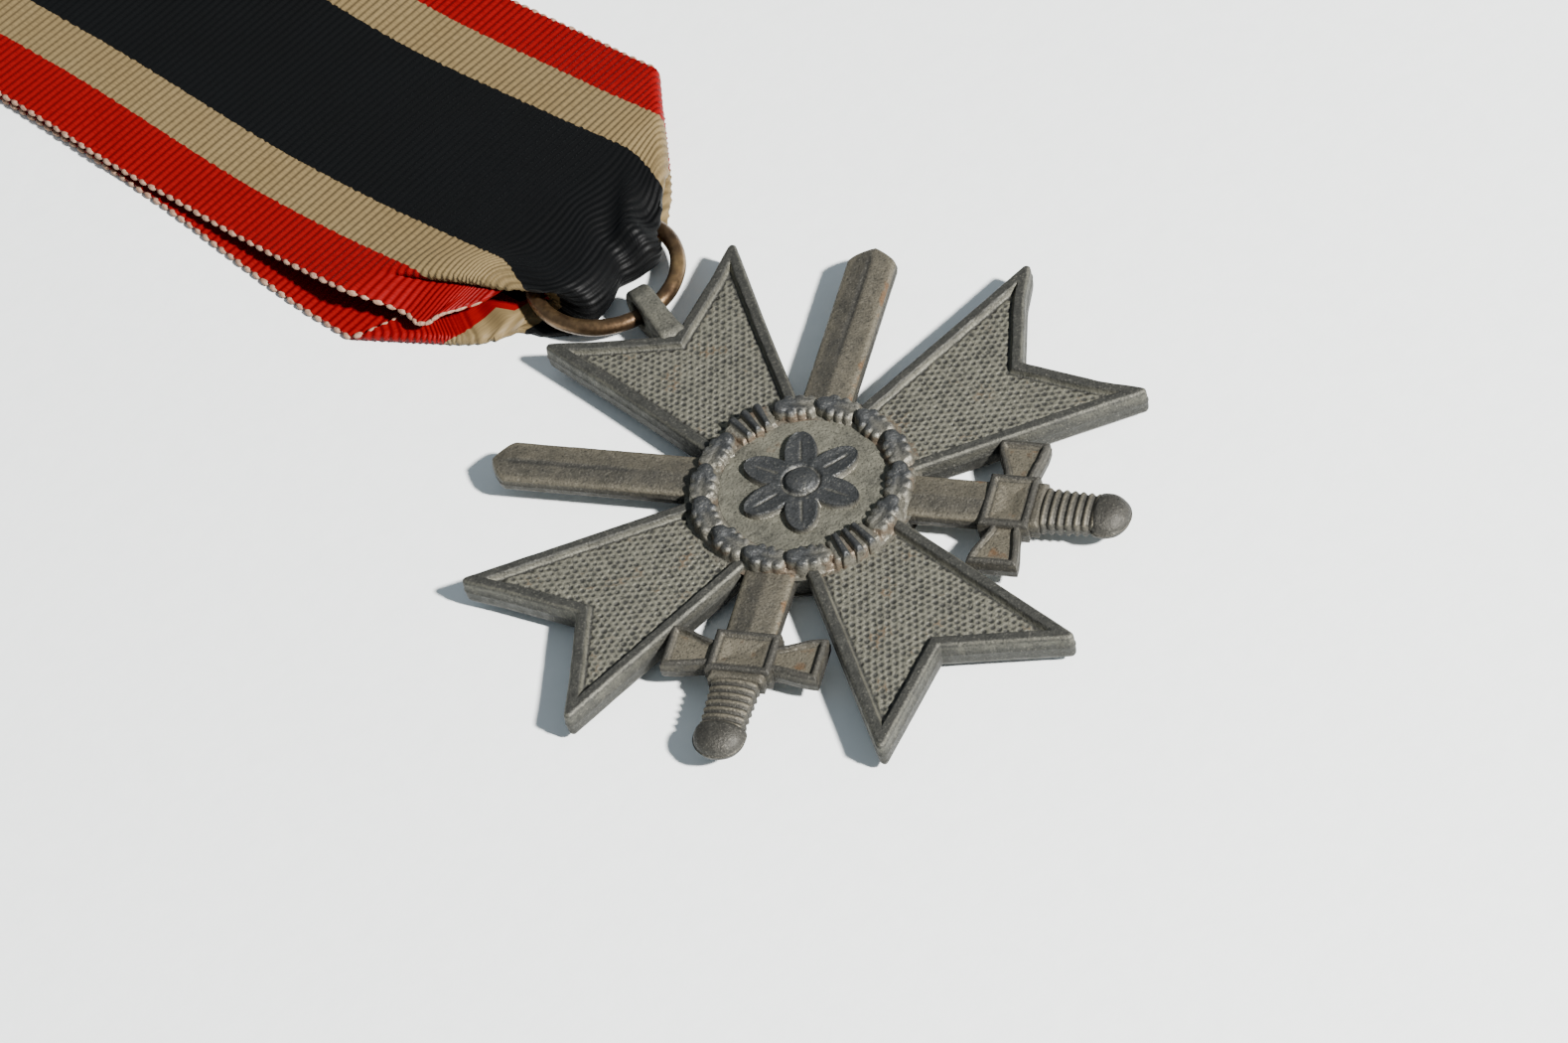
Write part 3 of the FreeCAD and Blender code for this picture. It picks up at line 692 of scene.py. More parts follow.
def pommel_shares(x):
    """0 at the pommel's middle and 1 at its end, and the same towards the grip."""
    past = np.clip((POMMEL_MIDDLE - x) / (POMMEL_MIDDLE - POMMEL_END), 0, 1)
    before = np.clip((x - POMMEL_MIDDLE) / (POMMEL_START - POMMEL_MIDDLE), 0, 1)
    return past, before


def pommel_half(x):
    """Nearly flat towards the grip and round towards the end."""
    past, before = pommel_shares(x)
    return POMMEL_HALF * np.sqrt(np.clip(1 - past ** 2, 0.004, 1)) * (1 - 0.18 * before ** 3)


def pommel_front(x, y):
    across = np.clip(1 - (y / POMMEL_HALF) ** 2, 0, 1)
    past, before = pommel_shares(x)
    dome = np.sqrt(np.clip(across - past ** 2 - 0.45 * before ** 4, 0, 1))
    worn_flat = np.minimum(dome, 0.86 + 0.10 * dome)
    height = 0.05 + 1.10 * worn_flat + 0.02 * soft_noise(x / 0.5, y / 0.5, 47)
    return SWORD_LEVEL + height, 0.9 + 0.25 * dome


def make_sword(name, degrees):
    """A whole sword along X, point at +X, turned to its place."""
    parts = [
        (patch(BLADE_START, BLADE_TIP, blade_half), blade_front, 160, 40),
        (patch(-BLOCK_NEAR - 0.2, -BLADE_START, BLADE_HALF), blade_front, 70, 40),
        (patch(-BLOCK_FAR, -BLOCK_NEAR, BLOCK_HALF), block_front, 46, 56),
        (guard_plan(1), guard_front, 46, 46),
        (guard_plan(-1), guard_front, 46, 46),
        (patch(-COLLAR_FAR, -BLOCK_FAR + 0.15, 2.0), collar_front, 12, 40),
        (patch(-GRIP_END, -COLLAR_FAR + 0.1, grip_half), grip_front, 90, 34),
        (patch(POMMEL_END, POMMEL_START, pommel_half), pommel_front, 50, 44),
    ]
    shells = [casting(plan, front, mirrored(front, SWORD_LEVEL), rows, columns, draft=0.045)
              for plan, front, rows, columns in parts]
    points, faces, tone = join_shells(shells)
    points = turned(points, degrees) + np.array([*SWORD_SHIFT, 0.0])
    return make_object(name, (points, faces, tone), SWORD_ZINC)


# -------- wreaths, medallions, rosette

LEAVES_A_SIDE = 6
BINDING_HALF_ANGLE = 14.5
WREATH_MIDDLE = 7.2
BAR_PITCH = 0.92
BAR_HALF = 0.35


def dome(away, height):
    """A round bump of a given height whose edge is at away = 1."""
    return height * np.sqrt(np.clip(1 - away ** 2, 0, 1))


def pillow(inside, edge):
    """0 at an outline and 1 from edge inside it, rounded like a pillow's side."""
    return np.sqrt(1 - (1 - np.clip(inside / edge, 0, 1)) ** 2)


# Lobes of one oak leaf: place along and across it, and radius. The leaf's tip comes first.
LEAF_LOBES = [(1.20, 0.0, 0.76), (0.62, 0.62, 0.50), (0.62, -0.62, 0.50), (-0.15, 0.64, 0.48),
              (-0.15, -0.64, 0.48), (-0.90, 0.58, 0.46), (-0.90, -0.58, 0.46)]
LEAF_BODY_HALF = 0.76


def leaf_height(along, across, salt):
    """One oak leaf: flat on top, lobed round its edge, and highest at its curled tip."""
    blend = 0.07
    inside = LEAF_BODY_HALF - np.hypot(across, np.clip(np.abs(along) - 0.85, 0, None))
    total = np.exp(inside / blend)
    for number, (place, side, radius) in enumerate(LEAF_LOBES):
        grown = radius * (0.90 + 0.2 * float(scatter(number, salt, 3)))
        total = total + np.exp((grown - np.hypot(along - place, across - side)) / blend)
    inside = blend * np.log(total) - 0.04
    top = 0.70 + 0.14 * along / 1.5 + 0.12 * hill(np.hypot(along - 1.22, across), 0, 0.5)
    dished = 0.07 * hill(across, 0, 0.25) * (1 - ease(0.4, 0.9, along))
    return pillow(inside, 0.36) * (top - dished)


def wreath_height(x, y):
    """Height of the oak wreath over its bed, from 0 to about 1."""
    radius = np.hypot(x, y)
    # 0 at the bottom binding and 180 at the top one, on both sides.
    turn = np.degrees(np.arctan2(np.abs(x), -y))
    side = np.where(x > 0, 0, 20)
    across = radius - WREATH_MIDDLE
    highest = np.zeros_like(x)
    span = 180.0 - 2 * BINDING_HALF_ANGLE
    for leaf in range(LEAVES_A_SIDE):
        middle = BINDING_HALF_ANGLE + span * (leaf + 0.42) / LEAVES_A_SIDE
        along = np.radians(turn - middle) * WREATH_MIDDLE
        lean = 0.10 * math.sin(leaf * 2.4)
        for salt in (0, 20):
            shape = leaf_height(along, across - lean * (1 if salt else -1), leaf + salt)
            highest = np.maximum(highest, np.where(side == salt, shape, 0))
    for end in (0, 180):
        along = np.radians(turn - end) * WREATH_MIDDLE
        for bar in (-1, 0, 1):
            beside = np.where(x > 0, along, -along) - bar * BAR_PITCH
            inside = np.minimum(BAR_HALF - np.abs(beside), 1.28 - np.abs(across))
            highest = np.maximum(highest, 0.84 * pillow(inside, 0.30))
        under = np.minimum(1.75 - np.abs(along), 1.15 - np.abs(across))
        highest = np.maximum(highest, 0.36 * pillow(under, 0.3))
    return highest


def make_front_wreath():
    rise = WREATH_TOP - PLATE_TOP

    def front(x, y):
        radius = np.hypot(x, y)
        leaf = wreath_height(x, y)
        bed = PLATE_TOP - 0.02 - 0.42 * ease(8.05, 8.3, radius)
        grain = 0.02 * soft_noise(x / 0.35, y / 0.35, 51)
        height = bed + leaf * (rise + 0.12 + PLATE_TOP - bed) + grain
        return height, 1.1 * ease(0.35, 0.82, leaf) - 0.1

    back = level_face(PLATE_TOP - 0.50, 0.2)
    plan = ring_plan(8.62, 5.75)
    return cast("oak_wreath_front", WREATH_ZINC, plan, front, back, 44, 660, wrap=True, draft=0.0)


def make_back_wreath():
    def back(x, y):
        leaf = wreath_height(-x, y)
        return PLATE_LOW - 0.78 * PLATE_LOW * np.clip(leaf * 1.25, 0, 1.25), np.clip(1.1 * leaf, 0, 1)

    front = level_face(PLATE_LOW + 0.15)
    plan = ring_plan(8.45, 5.9)
    return cast("oak_wreath_back", WREATH_ZINC, plan, front, back, 40, 600, wrap=True, draft=0.0)


def disc_plan(radius):
    """A disc as a four-sided patch, with its corners eased round."""
    def plan(u, v):
        a, b = 2 * u - 1, 2 * v - 1
        x = a * np.sqrt(1 - b * b / 2)
        y = b * np.sqrt(1 - a * a / 2)
        return radius * x, radius * y
    return plan


def cast_grain(x, y, salt):
    """The sandy skin of the casting."""
    return 0.020 * soft_noise(x / 0.22, y / 0.22, salt) + 0.02 * soft_noise(x / 0.9, y / 0.9, salt + 1)


def make_front_medallion():
    def front(x, y):
        return PLATE_TOP + 0.02 + cast_grain(x, y, 61), 0.30 + 0.2 * soft_noise(x / 1.5, y / 1.5, 63)

    back = level_face(PLATE_TOP - 0.4)
    return cast("medallion_front", PLATE_ZINC, disc_plan(6.1), front, back, 110, 110)


def make_back_medallion():
    def back(x, y):
        raised = 0.30 * ease(5.35, 5.15, np.hypot(x, y))
        return PLATE_LOW - 0.12 - raised + cast_grain(x, y, 65), 0.35 + raised

    front = level_face(PLATE_LOW + 0.1)
    return cast("medallion_back", PLATE_ZINC, disc_plan(6.0), front, back, 110, 110)


def make_rosette():
    """Six plain petals round a small boss."""
    petals = 6
    low = PLATE_TOP - 0.05

    def front(x, y):
        radius = np.hypot(x, y)
        turn = np.arctan2(y, x)
        step = 2 * math.pi / petals
        off = (np.mod(turn + step / 2, step) - step / 2) * radius
        width = 1.42 * np.sqrt(np.clip(1 - ((radius - 2.8) / 1.9) ** 2, 0, 1)) + 1e-6
        inside = 1 - np.abs(off) / width
        petal = ease(0.0, 0.16, inside) * (radius < 4.7)
        vein = hill(off, 0, 0.10) * ease(1.7, 2.2, radius) * ease(4.3, 3.6, radius)
        cup = 0.10 * ease(0.1, 0.7, inside)
        boss = dome(np.clip(radius / 1.15, 0, 1), 0.30) + 0.58 * (radius < 1.15)
        moat = hill(radius, 1.35, 0.14)
        height = np.maximum(petal * (0.56 - cup) - 0.10 * vein - 0.18 * moat * petal, boss)
        tone = np.where(radius < 1.15, 0.9, petal * 0.95 - 0.5 * vein - 0.4 * moat)
        return low + 0.04 + np.clip(height, 0, 1) + 0.4 * cast_grain(x, y, 67), np.clip(tone, -0.2, 1)

    back = level_face(low - 0.1)
    return cast("rosette_relief", WREATH_ZINC, disc_plan(4.75), front, back, 130, 130, draft=0.0)


# -------- eyelet and ring


def tube_shell(middles, sides, ups, section, tone):
    """A section swept once round a closed line of middles, with two axes given at each."""
    across, up = section
    points = middles[:, None] + across[..., None] * sides[:, None] + up[..., None] * ups[:, None]
    rows, columns = points.shape[:2]
    index = np.arange(rows * columns).reshape(rows, columns)
    index = wrapped(np.concatenate([index, index[:1]]))
    return points.reshape(-1, 3), quads(index)[:, FLIPPED], np.full(rows * columns, tone)


EYE_MIDDLE = 23.5
EYE_RADIUS = 1.0
LUG_OUTER = 1.85
LUG_FOOT = 18.7
LUG_FOOT_HALF = 1.2
LUG_HALF_WIDTH = 0.88
LUG_ROUNDING = 0.36


def make_eyelet():
    """A thick rounded lug on edge, with a round hole for the ring, whose foot runs into the notch."""
    turns = once_round(96)
    corner = once_round(40)
    outward = np.stack([np.zeros_like(turns), np.cos(turns), np.sin(turns)], axis=-1)
    sideways = np.tile([1.0, 0.0, 0.0], (len(turns), 1))
    # The outline is round at the head and tapers to the foot, which lies where the cosine is -1.
    back, rise = np.clip(-np.cos(turns), 1e-3, None), np.abs(np.sin(turns))
    length = EYE_MIDDLE - LUG_FOOT
    taper = (LUG_OUTER - LUG_FOOT_HALF) / length
    outer = np.minimum(LUG_OUTER / np.maximum(rise + taper * back, 1e-3), length / back)
    outer = np.where(np.cos(turns) < 0, np.maximum(outer, LUG_OUTER), LUG_OUTER)
    half_depth = (outer - EYE_RADIUS) / 2
    flat = half_depth - LUG_ROUNDING
    across = np.sign(np.cos(corner)) * (LUG_HALF_WIDTH - LUG_ROUNDING) + LUG_ROUNDING * np.cos(corner)
    up = np.sign(np.sin(corner + 1e-6)) * flat[:, None] + LUG_ROUNDING * np.sin(corner)
    # The casting is a little wider where it runs out into the cross.
    reach = up + (EYE_RADIUS + half_depth)[:, None]
    spread = 1 + 0.35 * ease(3.4, 5.4, reach * back[:, None])
    head = np.array([0.0, EYE_MIDDLE, MID_LEVEL])
    middles = head + outward * (EYE_RADIUS + half_depth)[:, None]
    shell = tube_shell(middles, sideways, outward, (across * spread, up), 0.6)
    return make_object("eyelet_lug", shell, PLATE_ZINC)


RING_LOW, RING_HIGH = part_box("suspension_ring")
RING_CENTRE = np.array([(RING_LOW[axis] + RING_HIGH[axis]) / 2 / MM for axis in range(3)])
WIRE_RADIUS = (RING_HIGH[2] - RING_LOW[2]) / 2 / MM
RING_RADIUS = (RING_HIGH[0] - RING_LOW[0]) / 2 / MM - WIRE_RADIUS


def make_ring():
    """Hand-bent wire: not quite round, a little flat in places, with a filed joint at its far side."""
    turns = once_round(240)
    around = once_round(24)
    outward = np.stack([np.cos(turns), np.sin(turns), np.zeros_like(turns)], axis=-1)
    upward = np.tile([0.0, 0.0, 1.0], (len(turns), 1))
    uneven = 0.05 * np.sin(2 * turns + 0.6) + 0.03 * np.sin(3 * turns)
    joint = hill(turns, 1.9, 0.035)
    thick = WIRE_RADIUS * (1 + 0.02 * np.sin(5 * turns) + 0.015 * np.sin(11 * turns + 1) - 0.14 * joint)
    section = np.cos(around) * thick[:, None], np.sin(around) * thick[:, None]
    middles = RING_CENTRE + outward * (RING_RADIUS + uneven)[:, None]
    points, faces, tone = tube_shell(middles, outward, upward, section, 0.5)
    return make_object("bent_wire_ring", (points, faces[:, ::-1], tone), RING_BRONZE)


# -------- ribbon
# The strip has two places: across it from its left edge, and along it from the bottom of its
# bend, above 0 on the front layer and below 0 on the back layer. On the table its own axes
# are n, across, and t, along, both from the middle of the cross.

RIBBON_TURN = 17.0
LEFT_EDGE_N = -5.9
RIBBON_MIDDLE_N = 8.0
RIBBON_END_T = 104.5
BEND_BOTTOM_T = 25.1
BEND_RADIUS = 1.85
BEND_LEVEL = 2.12
HALF_THICK = 0.13
CROWDING = 0.45
THROUGH_MIDDLE = 7.85
THROUGH_HALF = 4.4
WIRE_CLEAR_TOP = 2.84
WIRE_CLEAR_LOW = 0.90
# The front's cloth lies this far above another layer, and the ribs crowd together and stand higher within
# about the second distance of the bend.
LAYER_GAP = 0.34
GATHER_REACH = 5.0
RIBBON_ROWS = 1150
RIBBON_COLUMNS = 84
ROW_CROWDING = 1.1
RIB_RISE = 0.075
FOLD_RADIUS = 0.24
FLAT_START = BEND_BOTTOM_T + BEND_RADIUS
ARC_LENGTH = math.pi * BEND_RADIUS / 2
STRIP_REACH = RIBBON_END_T - FLAT_START + ARC_LENGTH

# How much further from the cross each part of the strip's width bends, as (across, distance):
# both edges are drawn up, and the eyelet lifts a crest between two lobes that hang lower.
BEND_DRAW = [(0, 5.2), (5, 4.9), (8, 4.3), (9.5, 2.8), (10.5, 1.3), (11.4, 0.4), (13.3, 0.45), (15, 0.9),
             (16.3, 1.5), (17.3, 1.25), (18.3, 0.85), (19.3, 0.6), (20.5, 0.5), (21.8, 0.9), (23, 1.7),
             (25, 2.6), (31, 3.8)]


def blurred_line(points, value, blur):
    """A line through points as (place, height), with its corners rounded over blur each side."""
    places, heights = zip(*points)
    steps = np.linspace(-blur, blur, 9)
    return sum(np.interp(value + step, places, heights) for step in steps) / len(steps)


def front_level(t):
    """Height of the front layer: over the ring, then easing down to the back layer."""
    return 0.78 + 3.19 * np.exp(-(np.clip(t - 34.0, 0, None) / 17.0) ** 1.3)


def fold_over(past, radius):
    """A cloth that turns back over itself: how far it has come and how deep it lies, 0 to 1."""
    angle = np.clip(past / radius, 0, math.pi)
    reach = np.where(past < 0, past, radius * np.sin(angle))
    reach = np.where(past > math.pi * radius, math.pi * radius - past, reach)
    return reach, (1 - np.cos(angle)) / 2


# The strip moves this far to the left where it is drawn in at the ring, the left side more.
DRAWN_SHIFT = 1.95
DRAWN_SLOPE = 0.05
DRAWN_MIDDLE = 9.9


def drawn_in(t):
    return 1 - ease(27.5, 34.0, t)


def gathered_place(across, t):
    """Where a point of the strip lies across the table before any fold: it draws in at the ring."""
    return across + LEFT_EDGE_N - drawn_in(t) * (DRAWN_SHIFT - DRAWN_SLOPE * (across - DRAWN_MIDDLE))


def ungathered(n, t):
    """The strip's own place of a point at n: gathered_place backwards."""
    drawn = drawn_in(t)
    shift = drawn * (DRAWN_SHIFT + DRAWN_SLOPE * DRAWN_MIDDLE)
    return (n - LEFT_EDGE_N + shift) / (1 + DRAWN_SLOPE * drawn)


def lobes(n, t):
    """Rise of the front layer near the ring: a crest over the eyelet between two rolls."""
    crest = 8.3 + 1.0 * (t - 25.0)
    near = 1 - ease(27.0, 33.5, t)
    left = 0.30 * hill(n, 3.9, 1.5)
    valley = -0.50 * hill(n, crest - 2.6, 1.3)
    ridge = 0.75 * hill(n, crest, 0.95)
    left_fall = -1.1 * (1 - ease(0.8, 3.4, n))
    right_fall = -0.9 * ease(10.0, 13.5, n) * (1 - ease(27.5, 30.0, t))
    return near * (left + valley + ridge + left_fall + right_fall)


def right_fold_edge(t):
    """How far out the right-hand folds of both layers reach, and how round the front one is."""
    return 14.4 + 0.91 * (np.clip(t, 25.5, None) - 26.6), 0.48 + 0.6 * (1 - ease(28.5, 36.0, t))


def right_side(across, t, right_fold, radius, folded_to):
    """n and depth of a layer whose right side folds back as far along as folded_to."""
    past = across - ungathered(right_fold - radius, t)
    reach, depth = fold_over(past, radius)
    squeeze = 0.62 + 0.38 * ease(30, 40, t)
    folded_n = right_fold - radius + np.where(past > math.pi * radius, reach * squeeze, reach)
    folded = t < folded_to
    n = np.where((past > 0) & folded, folded_n, gathered_place(across, t))
    return n, np.where(folded, depth, 0) * 2 * radius


def front_layer(across, t):
    """n of the front layer and its depth below the top, over and under its two folds."""
    right_fold, radius = right_fold_edge(t)
    n, depth = right_side(across, t, right_fold, radius, 38.4)

    # A pleat at the left: the cloth turns under, runs back and comes out again below.
    left_fold = np.clip(-0.9 + 2.75 * (38.0 - t) / 7.8, -2.2, 2.4)
    start = ungathered(left_fold + FOLD_RADIUS, t)
    flap = 4.35 * ease(30.6, 36.6, t) - 0.9 * ease(31.5, 28.5, t)
    turn = math.pi * FOLD_RADIUS
    tucked = np.clip((start - flap - 2 * turn) / 2, 0, None)
    past = start - across
    reach, first_depth = fold_over(past, FOLD_RADIUS)
    second = past - turn - tucked
    back_reach, second_depth = fold_over(second, FOLD_RADIUS)
    pleat_n = left_fold + FOLD_RADIUS - reach
    deepest = left_fold + FOLD_RADIUS + tucked
    pleat_n = np.where(second > 0, deepest + back_reach, pleat_n)
    pleat_depth = (first_depth + second_depth) * 2 * FOLD_RADIUS
    formed = 1 - ease(37.2, 43.5, t)
    in_pleat = past > 0
    n = np.where(in_pleat, formed * pleat_n + (1 - formed) * gathered_place(across, t), n)
    depth = np.where(in_pleat, formed * pleat_depth, depth)
    droop = 0.7 * ease(0.0, 4.5, past - 2 * turn - 2 * tucked) * formed * ease(30.5, 34, t)
    swell = 0.35 * hill(past, -1.2, 1.3) * ease(28.5, 32, t) * (1 - ease(37, 43, t))
    return n, depth + droop - swell


def back_layer(across, t):
    """n of the back layer, its rise and its shift along t: its sides turn over in slanting folds."""
    aside = 1.3 * (1 - ease(44.0, 66.0, t)) + 1.2 * (1 - ease(34.0, 40.0, t)) * (1 - ease(5.0, 9.0, across))
    across = across - aside
    n, depth = right_side(across, t, right_fold_edge(t)[0] - 0.3, FOLD_RADIUS, 39.0)

    left_fold = np.clip(0.4 - 7.7 * (t - 27.8) / 13.4, -7.8, 1.6)
    start = ungathered(left_fold + FOLD_RADIUS, t)
    past = start - across
    reach, left_depth = fold_over(past, FOLD_RADIUS)
    # A strip folded along a slanting line runs on in the mirrored direction.
    slant = ease(26.5, 30.0, t)
    run = np.clip(past - math.pi * FOLD_RADIUS, 0, None)
    mirrored_n = left_fold + FOLD_RADIUS - np.where(run > 0, 0, reach) + run * (1 - 0.41 * slant) * 0.8
    here = (past > 0) & (t < 42.4)
    n = np.where(here, mirrored_n, n)
    depth = np.where(here, left_depth * 2 * FOLD_RADIUS, depth)
    return n, depth, np.where(here, run * 0.80 * slant, 0)


def ribbon_surface(across, along):
    """Points of the strip's middle surface, in the medal's own axes."""
    past_arc = np.clip(np.abs(along) - ARC_LENGTH, 0, None)
    angle = np.clip(along / BEND_RADIUS, -math.pi / 2, math.pi / 2)
    draw = blurred_line(BEND_DRAW, across, 0.5) * hill(past_arc, 0, 6.5)
    t_flat = FLAT_START + past_arc + draw
    front_n, front_depth = front_layer(across, t_flat)
    back_n, back_depth, back_shift = back_layer(across, t_flat)
    # The two layers' folds pass into each other round the bend.
    front = along > 0
    round_bend = past_arc == 0
    share = np.where(round_bend, ease(-ARC_LENGTH, ARC_LENGTH, along), front * 1.0)
    n = share * front_n + (1 - share) * back_n
    n = RIBBON_MIDDLE_N + (n - RIBBON_MIDDLE_N) * (1 - 0.22 * hill(along, 0, 2.4))
    # Where it turns, the whole strip goes through the ring: its sides bunch up inside the wire.
    sideways = (n - THROUGH_MIDDLE) / THROUGH_HALF
    bunched = sideways / (1 + np.abs(sideways) ** 8) ** 0.125
    bunched = bunched - 0.30 * np.sign(sideways) * np.clip(np.abs(sideways) - 1, 0, None)
    tucked = np.clip(np.where(front, front_depth, back_depth) / 0.6, 0, 1)
    through = 1 - ease(0.8 + 1.4 * tucked, 2.8 + 0.9 * tucked, np.abs(along))
    n = n + through * (THROUGH_MIDDLE + THROUGH_HALF * bunched - n)
    top = front_level(t_flat) - front_depth + lobes(n, t_flat) * np.clip(1 - 0.5 * front_depth, 0, 1)
    low = BEND_LEVEL - BEND_RADIUS + back_depth
    # The ring lies between the layers, and their folds keep clear of its wire.
    off_ring = ease(34.5, 37.5, t_flat)
    # Cloth pulled in past the ring's right side goes below the cloth that is there already.
    pulled_in = through * np.clip(sideways - 1, 0, 1)
    top = top - 1.2 * pulled_in
    uppermost = np.where(front_depth < 0.3, LAYER_GAP, 0.0) * (1 - np.clip(3 * pulled_in, 0, 1))
    top = np.maximum(top, WIRE_CLEAR_TOP + uppermost - 2.9 * off_ring)
    low = np.minimum(low, WIRE_CLEAR_LOW + 3.0 * off_ring)
    top = np.maximum(top, low + LAYER_GAP)
    bend_t = t_flat - BEND_RADIUS * np.cos(angle)
    bend_z = (top + low) / 2 + (top - low) / 2 * np.sin(angle)
    t = np.where(round_bend, bend_t, t_flat + np.where(front, 0, back_shift))
    z = np.where(round_bend, bend_z, np.where(front, top, low))
    n = n + 0.9 * ease(56, 84, t) + 0.5 * ease(20, 31, across) * ease(38, 50, t)
    # The front's left edge leans in over the gap between the layers.
    leaning = 0.6 * np.clip(1 - across / 4.8, 0, 1) * ease(35, 38, t) * (1 - ease(60, 74, t))
    n = n + np.where(front, leaning, 0)
    z = z + np.where(front, 0.12 * np.sin(n / 4.1 + t / 9.0) * ease(40, 50, t), 0)
    return turned(np.stack([n, t, z], axis=-1), RIBBON_TURN)


def rib_wave(along):
    """1 on a rib's crest and 0 between ribs: closer together where the cloth is drawn round the ring."""
    crowd = np.array([math.erf(place / GATHER_REACH) for place in along[:, 0]])[:, None]
    drawn = along + CROWDING * GATHER_REACH * math.sqrt(math.pi) / 2 * crowd
    phase = drawn / RIB_PITCH + 0.06 * soft_noise(along / 3.0, along * 0, 81)
    return (0.5 + 0.5 * np.sin(2 * math.pi * phase)) ** 0.75 * (0.9 + 0.1 * scatter(np.floor(phase), 0, 83))


def make_ribbon():
    """The strip as a thin closed shell with ribs on both faces."""
    # Rows lie closer together near the ring, where the ribs do.
    places = np.sinh(np.linspace(-1, 1, RIBBON_ROWS) * ROW_CROWDING)
    places = places / math.sinh(ROW_CROWDING) * STRIP_REACH
    along, across = np.meshgrid(places, np.linspace(0, RIBBON_WIDTH, RIBBON_COLUMNS), indexing="ij")
    rows, columns = along.shape
    middle = ribbon_surface(across, along)
    normal = unit(np.cross(np.gradient(middle, axis=1), np.gradient(middle, axis=0)))
    rise = RIB_RISE * (1 + 0.9 * hill(along, 0, GATHER_REACH))
    thick = (HALF_THICK + rise * rib_wave(along))[..., None]
    upper = (middle + normal * thick).reshape(-1, 3)
    lower = (middle - normal * thick).reshape(-1, 3)
    count = rows * columns
    loop = patch_outline(np.arange(count).reshape(rows, columns))
    after = np.roll(loop, -1)
    rim = np.stack([after, loop, loop + count, after + count], axis=-1)
    faces = np.concatenate([grid_faces(rows, columns), grid_faces(rows, columns, count)[:, ::-1], rim])
    points = np.concatenate([upper, lower])
    # The ribbon never sinks into the table.
    points[:, 2] = np.maximum(points[:, 2], 0.02)
    piece = make_object("ribbon_cloth", (points, faces, None), RIBBON_SILK, crease=80)
    strip = np.stack([across / RIBBON_WIDTH, along / RIBBON_WIDTH], axis=-1).reshape(-1, 2)
    strip = np.concatenate([strip, strip])
    uv = piece.data.uv_layers.new(name="strip")
    corner_vertex = np.empty(len(piece.data.loops), dtype=np.int32)
    piece.data.loops.foreach_get("vertex_index", corner_vertex)
    uv.data.foreach_set("uv", strip[corner_vertex].ravel())
    return piece


def make_selvedge():
    """The pale weft loops that turn at both edges of the strip, two to every three ribs."""
    beads = []
    count = int(2 * STRIP_REACH / LOOP_PITCH)
    turns = once_round(10)
    bands = np.linspace(-1, 1, 7)
    spread = np.sqrt(np.maximum(1 - bands ** 2, 0.02))
    for edge, outward in ((0.0, -1.0), (RIBBON_WIDTH, 1.0)):
        for number in range(1, count - 1):
            middle = -STRIP_REACH + (number + 0.3) * LOOP_PITCH
            size = 0.9 + 0.3 * float(scatter(number, outward, 91))
            spots = ribbon_surface(np.array([[edge, edge - outward * 0.4]] * 2),
                                   np.array([[middle - 0.2] * 2, [middle + 0.2] * 2]))
            forward = unit(spots[1, 0] - spots[0, 0])
            side = unit(spots[0, 0] - spots[0, 1])
            up = np.cross(forward, side)
            centre = (spots[0, 0] + spots[1, 0]) / 2 + side * 0.02
            long_way, wide_way = LOOP_LONG * size, LOOP_WIDE * size
            round_it = (np.cos(turns)[:, None] * side * wide_way + np.sin(turns)[:, None] * up * LOOP_THICK)
            bead = centre + bands[:, None, None] * forward * long_way + spread[:, None, None] * round_it
            beads.append(bead.reshape(-1, 3))
    points = np.concatenate(beads)
    one = grid_faces(len(bands), len(turns), 0, True)
    faces = np.concatenate([one + number * len(beads[0]) for number in range(len(beads))])
    points[:, 2] = np.maximum(points[:, 2], 0.01)
    return make_object("selvedge_loops", (points, faces, None), SELVEDGE_THREAD, crease=180)


# -------- put together


def stands_for(node):
    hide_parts(node)


def dress_metal():
    metal = [(make_arm(*values), "cross", "cross_plate", "zinc") for values in ARMS]
    metal += [
        (make_hub(), "cross", "cross_plate", "zinc"),
        (make_sword("sword_left", 45), "cross", "left_sword", "sword_zinc"),
        (make_sword("sword_right", 135), "cross", "right_sword", "sword_zinc"),
        (make_front_medallion(), "cross", "front_medallion", "zinc"),
        (make_back_medallion(), "cross", "back_medallion", "zinc"),
        (make_front_wreath(), "cross", "front_wreath", "wreath_zinc"),
        (make_back_wreath(), "cross", "back_wreath", "wreath_zinc"),
        (make_rosette(), "cross", "rosette", "wreath_zinc"),
        (make_eyelet(), "cross", "eyelet", "zinc"),
        (make_ring(), "ring", "suspension_ring", "ring_bronze"),
    ]
    for piece, body, node, material_slot in metal:
        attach(piece, body)
        stands_for(node)


def dress_ribbon():
    ribbon = make_ribbon()
    selvedge = make_selvedge()
    for piece in (ribbon, selvedge):
        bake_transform(piece)
        stands_for("ribbon")


# -------- floor, light, camera

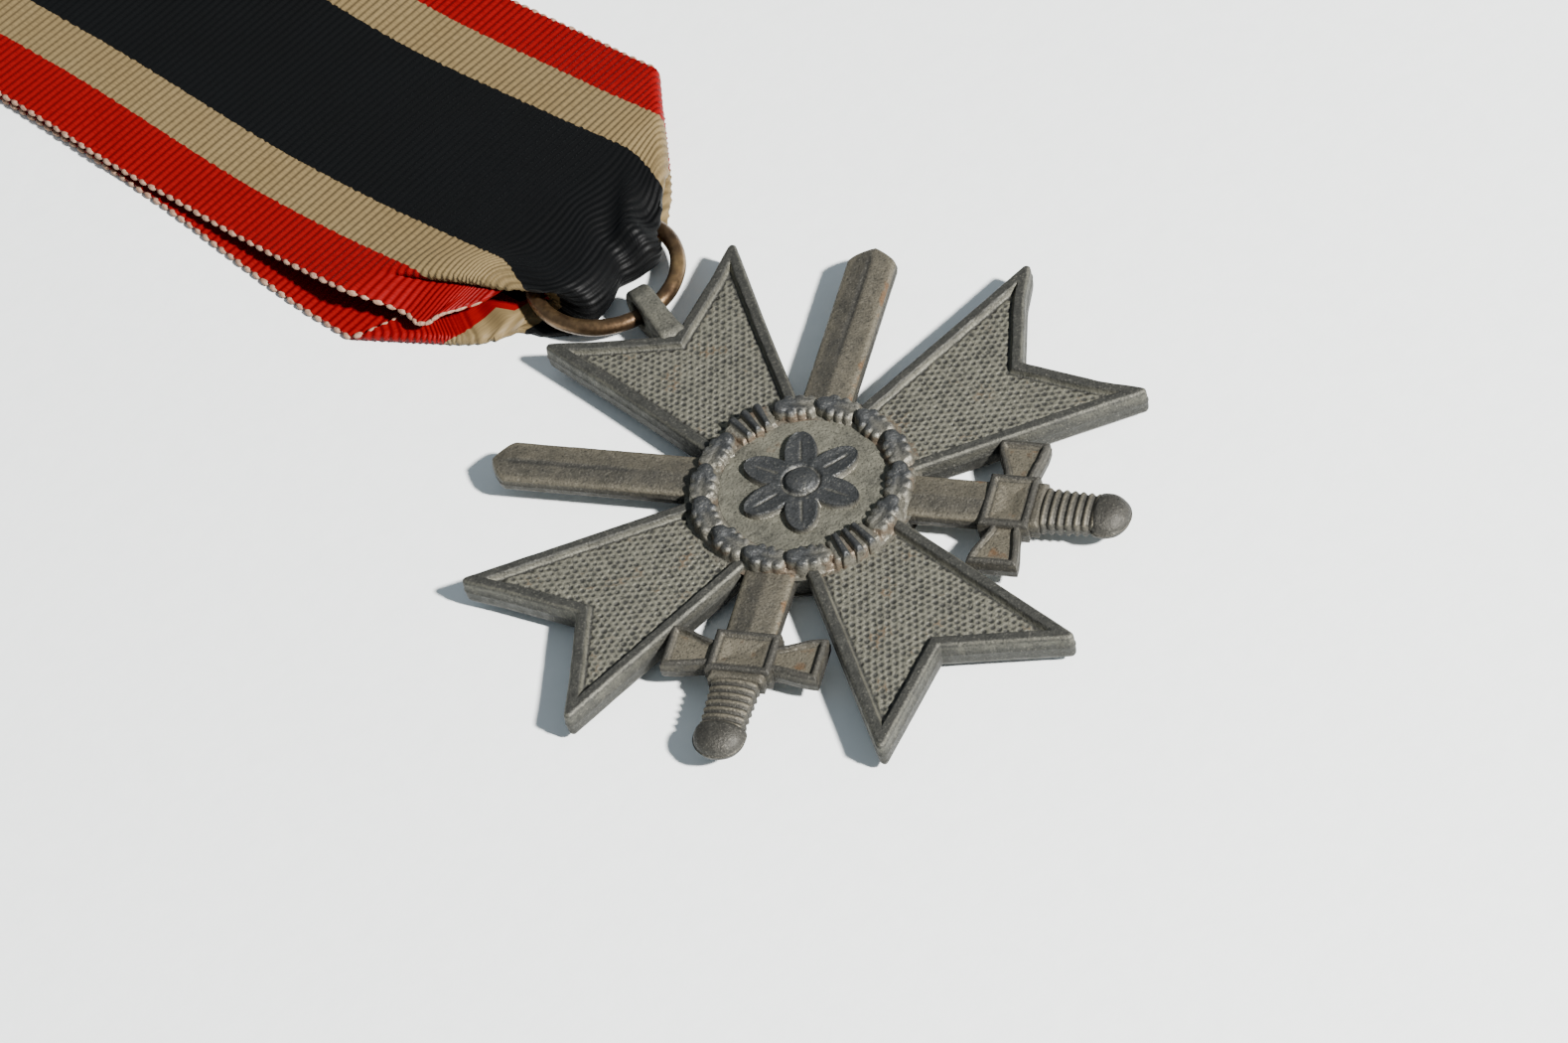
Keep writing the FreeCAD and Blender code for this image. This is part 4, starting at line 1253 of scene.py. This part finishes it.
AIM = Vector((-0.0028, -0.0022, 0.0031))
VIEW_AZIMUTH = 19.56
VIEW_ELEVATION = 48.08
VIEW_ROLL = -14.5
VIEW_DISTANCE = 0.3358
LENS = 108.5


def make_floor():
    stops = [(0.3, (0.82, 0.85, 0.845)), (0.7, (0.85, 0.88, 0.875))]
    bpy.ops.mesh.primitive_plane_add(size=3.0, location=(0, 0, 0))
    floor = bpy.context.object
    floor.name = "floor"
    floor.data.materials.append(mottled("pale_floor", 0.5, 5, stops, 0.1, 0.25, Roughness=0.75))


def make_light():
    """One lamp at the front right, and a pale blue sky that fills its shadows."""
    towards = Vector((1.45, -3.04, 3.0)).normalized()
    lamp = bpy.data.lights.new("key", "AREA")
    lamp.shape = "DISK"
    lamp.size = 0.07
    lamp.energy = 40.0
    lamp.color = (1.0, 0.98, 0.955)
    key = bpy.data.objects.new("key", lamp)
    key.location = AIM + towards * 0.9
    key.rotation_euler = towards.to_track_quat("Z", "Y").to_euler()
    bpy.context.scene.collection.objects.link(key)
    world = bpy.data.worlds.new("sky")
    world.use_nodes = True
    sky = world.node_tree.nodes["Background"]
    sky.inputs["Color"].default_value = (0.78, 0.90, 1.0, 1.0)
    sky.inputs["Strength"].default_value = 0.38
    bpy.context.scene.world = world


def make_camera():
    azimuth, elevation = math.radians(VIEW_AZIMUTH), math.radians(VIEW_ELEVATION)
    ahead = Vector((math.sin(azimuth) * math.cos(elevation), math.cos(azimuth) * math.cos(elevation),
                    -math.sin(elevation)))
    lens = bpy.data.cameras.new("camera")
    lens.lens = LENS
    lens.clip_start = 0.01
    camera = bpy.data.objects.new("camera", lens)
    level = (-ahead).to_track_quat("Z", "Y").to_matrix().to_4x4()
    roll = Matrix.Rotation(math.radians(VIEW_ROLL), 4, "Z")
    camera.matrix_world = Matrix.Translation(AIM - ahead * VIEW_DISTANCE) @ level @ roll
    bpy.context.scene.collection.objects.link(camera)
    bpy.context.scene.camera = camera


make_camera()
make_floor()
make_light()
dress_metal()
dress_ribbon()
